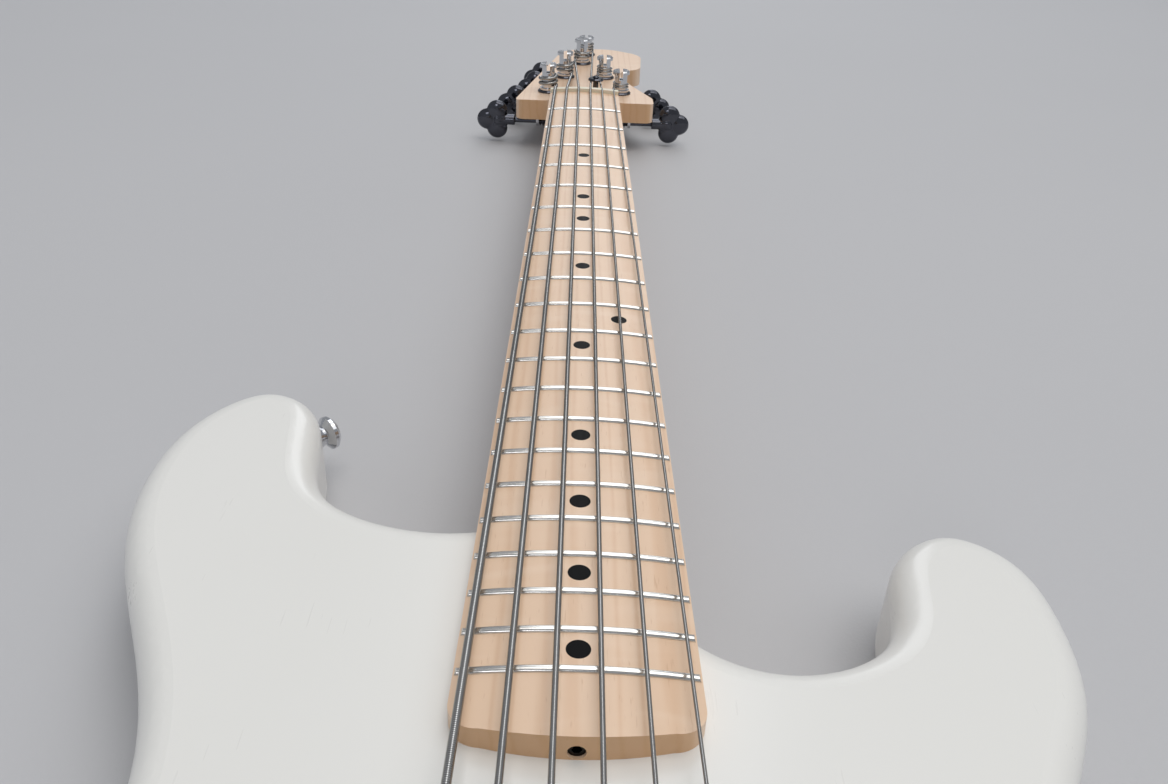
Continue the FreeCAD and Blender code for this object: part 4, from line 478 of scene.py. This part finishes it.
def ball_end_tree():
    """A short brass barrel on each point, with rounded rims and a hole across the string."""
    graph, (points, radius, wall, length, edge, sides, material) = tree_with_inputs("ball_end", (
        ("Radius", "NodeSocketFloat"), ("Wall", "NodeSocketFloat"), ("Length", "NodeSocketFloat"),
        ("Edge", "NodeSocketFloat"), ("Sides", "NodeSocketInt"), ("Finish", "NodeSocketMaterial")))
    ring = graph.node("GeometryNodeCurvePrimitiveCircle", None, {
        "Resolution": sides, "Radius": radius - wall / 2})[0]
    section = graph.node("GeometryNodeCurvePrimitiveQuadrilateral", None, {"Width": wall, "Height": length})[0]
    rounded = graph.node("GeometryNodeFilletCurve", {"mode": "POLY"}, {
        "Curve": section, "Count": BALL_EDGE_STEPS, "Radius": edge, "Limit Radius": True})[0]
    barrel = graph.node("GeometryNodeCurveToMesh", None, {"Curve": ring, "Profile Curve": rounded})[0]
    across = graph.node("GeometryNodeTransform", None, {"Geometry": barrel, "Rotation": (0, math.pi / 2, 0)})[0]
    barrels = graph.node("GeometryNodeInstanceOnPoints", None, {"Points": points, "Instance": across})[0]
    return end_tree(graph, barrels, material)


def middle_of(node):
    low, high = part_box(node)
    return (low + high) / 2


def string_share(index):
    """A string's place across the set, from minus a half on the bass side to plus a half."""
    return index / (STRING_COUNT - 1) - 0.5


def rest_height(x, action, index):
    """The middle of a string that lies so high over the cambered board."""
    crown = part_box("neck")[1].z
    drop = CAMBER_RADIUS - math.sqrt(CAMBER_RADIUS ** 2 - x ** 2)
    return crown + action - drop + STRING_GAUGES[index] / 2


def ball_place(index):
    """On top of the intonation screw's head, at the rear end of the string."""
    number = index + 1
    x = string_share(index) * SADDLE_SPREAD
    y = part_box(f"string_{number}")[0].y + BALL_RADIUS
    return Vector((x, y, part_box(f"intonation_screw_{number}")[1].z + BALL_RADIUS + BALL_ROOM))


def saddle_place(index):
    x = string_share(index) * SADDLE_SPREAD
    return Vector((x, 0, rest_height(x, ACTION_AT_SADDLE, index)))


def nut_place(index):
    x = string_share(index) * NUT_SPREAD
    return Vector((x, middle_of("nut").y, rest_height(x, ACTION_AT_NUT, index)))


def coil_radius(index):
    return POST_RADIUS + COIL_ROOM + STRING_GAUGES[index] / 2


def coil_start(index):
    """Where a string meets its post, its heading there, and the direction from the post to it."""
    post = middle_of(f"tuner_post_{index + 1}")
    side = COIL_SIDES[index]
    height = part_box("tuner_bushings")[1].z + FLANGE_ABOVE_BUSHING + COIL_GAP + STRING_GAUGES[index] / 2
    gap = (post - nut_place(index)).xy
    lean = math.asin(coil_radius(index) / gap.length) * side
    heading = Matrix.Rotation(-lean, 2) @ gap.normalized()
    outward = Vector((heading.y, -heading.x, 0)) * side
    place = Vector((post.x, post.y, height)) + outward * coil_radius(index)
    return place, heading.to_3d(), outward


def bent_route(points):
    """Straight runs with an arc at each corner."""
    route = [points[0]]
    for before, here, after in zip(points, points[1:], points[2:]):
        arriving = (here - before).normalized()
        leaving = (after - here).normalized()
        turn = arriving.angle(leaving)
        start = here - arriving * (STRING_BEND * math.tan(turn / 2))
        inward = (leaving - arriving * arriving.dot(leaving)).normalized()
        centre = start + inward * STRING_BEND
        axis = arriving.cross(leaving)
        for step in range(BEND_STEPS + 1):
            route.append(centre + Matrix.Rotation(turn * step / BEND_STEPS, 3, axis) @ (start - centre))
    return route


def coil_turns(index):
    """The turns on the post, level at first and then climbing."""
    place, _, outward = coil_start(index)
    centre = place - outward * coil_radius(index)
    climb = (STRING_GAUGES[index] + COIL_GAP) * COIL_RISE_SHARE / (2 * math.pi)
    turns = []
    for step in range(round(COIL_TURNS * COIL_STEPS) + 1):
        turned = 2 * math.pi * step / COIL_STEPS
        ramped = turned - COIL_RAMP / 2 if turned > COIL_RAMP else turned ** 2 / COIL_RAMP / 2
        arm = Matrix.Rotation(turned * COIL_SIDES[index], 3, "Z") @ outward * coil_radius(index)
        turns.append(centre + arm + Vector((0, 0, climb * ramped)))
    return turns


def string_route(index):
    """From the ball end over the saddle and the nut to the last turn on the post."""
    place, heading, _ = coil_start(index)
    corners = [ball_place(index), saddle_place(index), nut_place(index), place - heading * COIL_LEAD_IN, place]
    return bent_route(corners) + coil_turns(index)


def build_strings():
    tree = wound_string_tree()
    for index, gauge in enumerate(STRING_GAUGES):
        name = f"string_{index + 1}"
        route = string_route(index)
        edges = [(step, step + 1) for step in range(len(route) - 1)]
        wound = grown("wound_" + name, route, edges, tree, {
            "Gauge": gauge, "Pitch": gauge * WRAP_PITCH_SHARE, "Groove Depth": gauge * WRAP_GROOVE_SHARE / 2,
            "Sides": WRAP_SIDES, "Finish": FINISHES["string_steel"]})
        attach(wound, "instrument")
        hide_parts(name)


def build_ball_ends():
    places = [ball_place(index) for index in range(STRING_COUNT)]
    balls = grown("string_ball_ends", places, [], ball_end_tree(), {
        "Radius": BALL_RADIUS, "Wall": BALL_WALL, "Length": BALL_LENGTH, "Edge": BALL_EDGE, "Sides": BALL_SIDES,
        "Finish": FINISHES["ball_brass"]})
    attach(balls, "instrument")


def merged_solid(node):
    """A node's own shape, with the seams between its faces merged."""
    solid = bmesh.new()
    solid.from_mesh(frame["nodes"][node].data)
    bmesh.ops.remove_doubles(solid, verts=solid.verts, dist=MERGE_DISTANCE)
    return solid


def cut_off(solid, place, outward):
    """The part of a closed mesh beyond a plane, closed again over the cut."""
    kept = solid.copy()
    cut = bmesh.ops.bisect_plane(
        kept, geom=[*kept.verts, *kept.edges, *kept.faces], plane_co=place, plane_no=outward, clear_inner=True)
    rim = [item for item in cut["geom_cut"] if isinstance(item, bmesh.types.BMEdge)]
    bmesh.ops.edgeloop_fill(kept, edges=rim)
    bmesh.ops.recalc_face_normals(kept, faces=kept.faces)
    return kept


def remeshed(solid, grain):
    """The same closed shape in small even faces."""
    mesh = bpy.data.meshes.new("casting")
    solid.to_mesh(mesh)
    solid.free()
    host = placed("casting", mesh)
    modifier = host.modifiers.new("cast", "REMESH")
    modifier.mode = "VOXEL"
    modifier.voxel_size = grain
    even = evaluated_mesh(host)
    cast = bmesh.new()
    cast.from_mesh(even)
    bpy.data.meshes.remove(even)
    return cast


def crown_lobes(cast, centres):
    """Raises a dome on both faces of each lobe, and softens every edge."""
    for vertex in cast.verts:
        nearest = min(centres, key=lambda centre: (vertex.co - centre).xz.length)
        spread = (vertex.co - nearest).xz.length / KEY_LOBE_RADIUS
        depth = (vertex.co.y - nearest.y) / KEY_HALF_THICKNESS
        vertex.co.y += KEY_CROWN * max(0, 1 - spread ** 2) * max(-1, min(1, depth))
    for _ in range(KEY_SOFTENING_ROUNDS):
        bmesh.ops.smooth_vert(
            cast, verts=cast.verts, factor=KEY_SOFTENING_SHARE, use_axis_x=True, use_axis_y=True, use_axis_z=True)


def cast_key(node):
    """The solid's own shape with domed lobes and soft edges, on the solid's own worm shaft."""
    solid = merged_solid(node)
    middle = middle_of(node)
    outward = Vector((math.copysign(1, middle.x), 0, 0))
    tip = middle + outward * (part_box(node)[1].x - middle.x)
    collar = tip - outward * KEY_LENGTH
    outer = tip - outward * KEY_LOBE_RADIUS
    inner = outer - outward * KEY_TIP_REACH
    lift = Vector((0, 0, KEY_SPREAD))
    cast = remeshed(cut_off(solid, collar - outward * KEY_STUB, outward), KEY_GRAIN)
    crown_lobes(cast, (outer, inner + lift, inner - lift))
    shaft = cut_off(solid, collar, -outward)
    mesh = bpy.data.meshes.new(f"cast_{node}")
    shaft.to_mesh(mesh)
    cast.from_mesh(mesh)
    cast.to_mesh(mesh)
    for spent in (solid, shaft, cast):
        spent.free()
    return mesh


def build_keys():
    for number in range(1, STRING_COUNT + 1):
        node = f"tuner_key_{number}"
        mesh = cast_key(node)
        # the keys' dark tone is a painted dark reflection, not a black finish of their own
        mesh.materials.append(FINISHES["black_chrome"])
        mesh.shade_smooth()
        mesh.set_sharp_from_angle(angle=math.radians(KEY_SHARP_ANGLE))
        key = placed(mesh.name, mesh)
        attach(key, node + "_body")
        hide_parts(node)


def build_floor():
    low = CAD_BOX[0].z
    corners = [(-FLOOR_HALF, -FLOOR_HALF, low), (FLOOR_HALF, -FLOOR_HALF, low), (FLOOR_HALF, FLOOR_HALF, low),
               (-FLOOR_HALF, FLOOR_HALF, low)]
    mesh = bpy.data.meshes.new("studio_floor")
    mesh.from_pydata(corners, [], [(0, 1, 2, 3)])
    mesh.materials.append(floor_card())
    floor = placed("studio_floor", mesh)


def aim(holder, direction):
    holder.rotation_euler = direction.to_track_quat("-Z", "Y").to_euler()


def build_sky_light():
    lamp = bpy.data.lights.new("sky_light", "SUN")
    lamp.energy = SKY_STRENGTH
    lamp.angle = math.radians(SKY_SPREAD)
    aim(placed("sky_light", lamp), -Vector(SKY_FROM))


def build_lamps():
    for name, place, target, width, height, watts, tone in LAMPS:
        lamp = bpy.data.lights.new(name, "AREA")
        lamp.shape = "RECTANGLE"
        lamp.size = width
        lamp.size_y = height
        lamp.energy = watts
        lamp.color = linear(tone)[:3]
        holder = placed(name, lamp)
        holder.location = place
        holder.visible_camera = False
        aim(holder, Vector(target) - Vector(place))


def build_world():
    world = bpy.data.worlds.new("studio")
    world.use_nodes = True
    world.node_tree.nodes.clear()
    graph = Graph(world.node_tree)
    light = graph.node("ShaderNodeBackground", None, {
        "Color": linear(WORLD_TONE), "Strength": WORLD_STRENGTH})[0]
    graph.node("ShaderNodeOutputWorld", None, {"Surface": light})
    bpy.context.scene.world = world


def build_camera():
    down, yaw, roll = (math.radians(angle) for angle in (CAMERA_DOWN, CAMERA_YAW, CAMERA_ROLL))
    ahead = Vector((math.cos(down) * math.sin(yaw), math.cos(down) * math.cos(yaw), -math.sin(down)))
    level_right = Vector((math.cos(yaw), -math.sin(yaw), 0))
    level_up = level_right.cross(ahead)
    right = level_right * math.cos(roll) + level_up * math.sin(roll)
    up = level_up * math.cos(roll) - level_right * math.sin(roll)
    lens = bpy.data.cameras.new("camera")
    lens.sensor_width = SENSOR_WIDTH
    lens.lens = PHOTO_FOCAL_PIXELS * SENSOR_WIDTH / PHOTO_WIDTH
    lens.clip_start = CAMERA_NEAREST
    holder = placed("camera", lens)
    turn = Matrix((right, up, -ahead)).transposed()
    holder.matrix_world = Matrix.Translation(CAMERA_PLACE) @ turn.to_4x4()
    bpy.context.scene.camera = holder


dress_nodes()
build_strings()
build_ball_ends()
build_keys()
build_floor()
build_sky_light()
build_lamps()
build_world()
build_camera()
bpy.context.scene.view_settings.view_transform = "Standard"
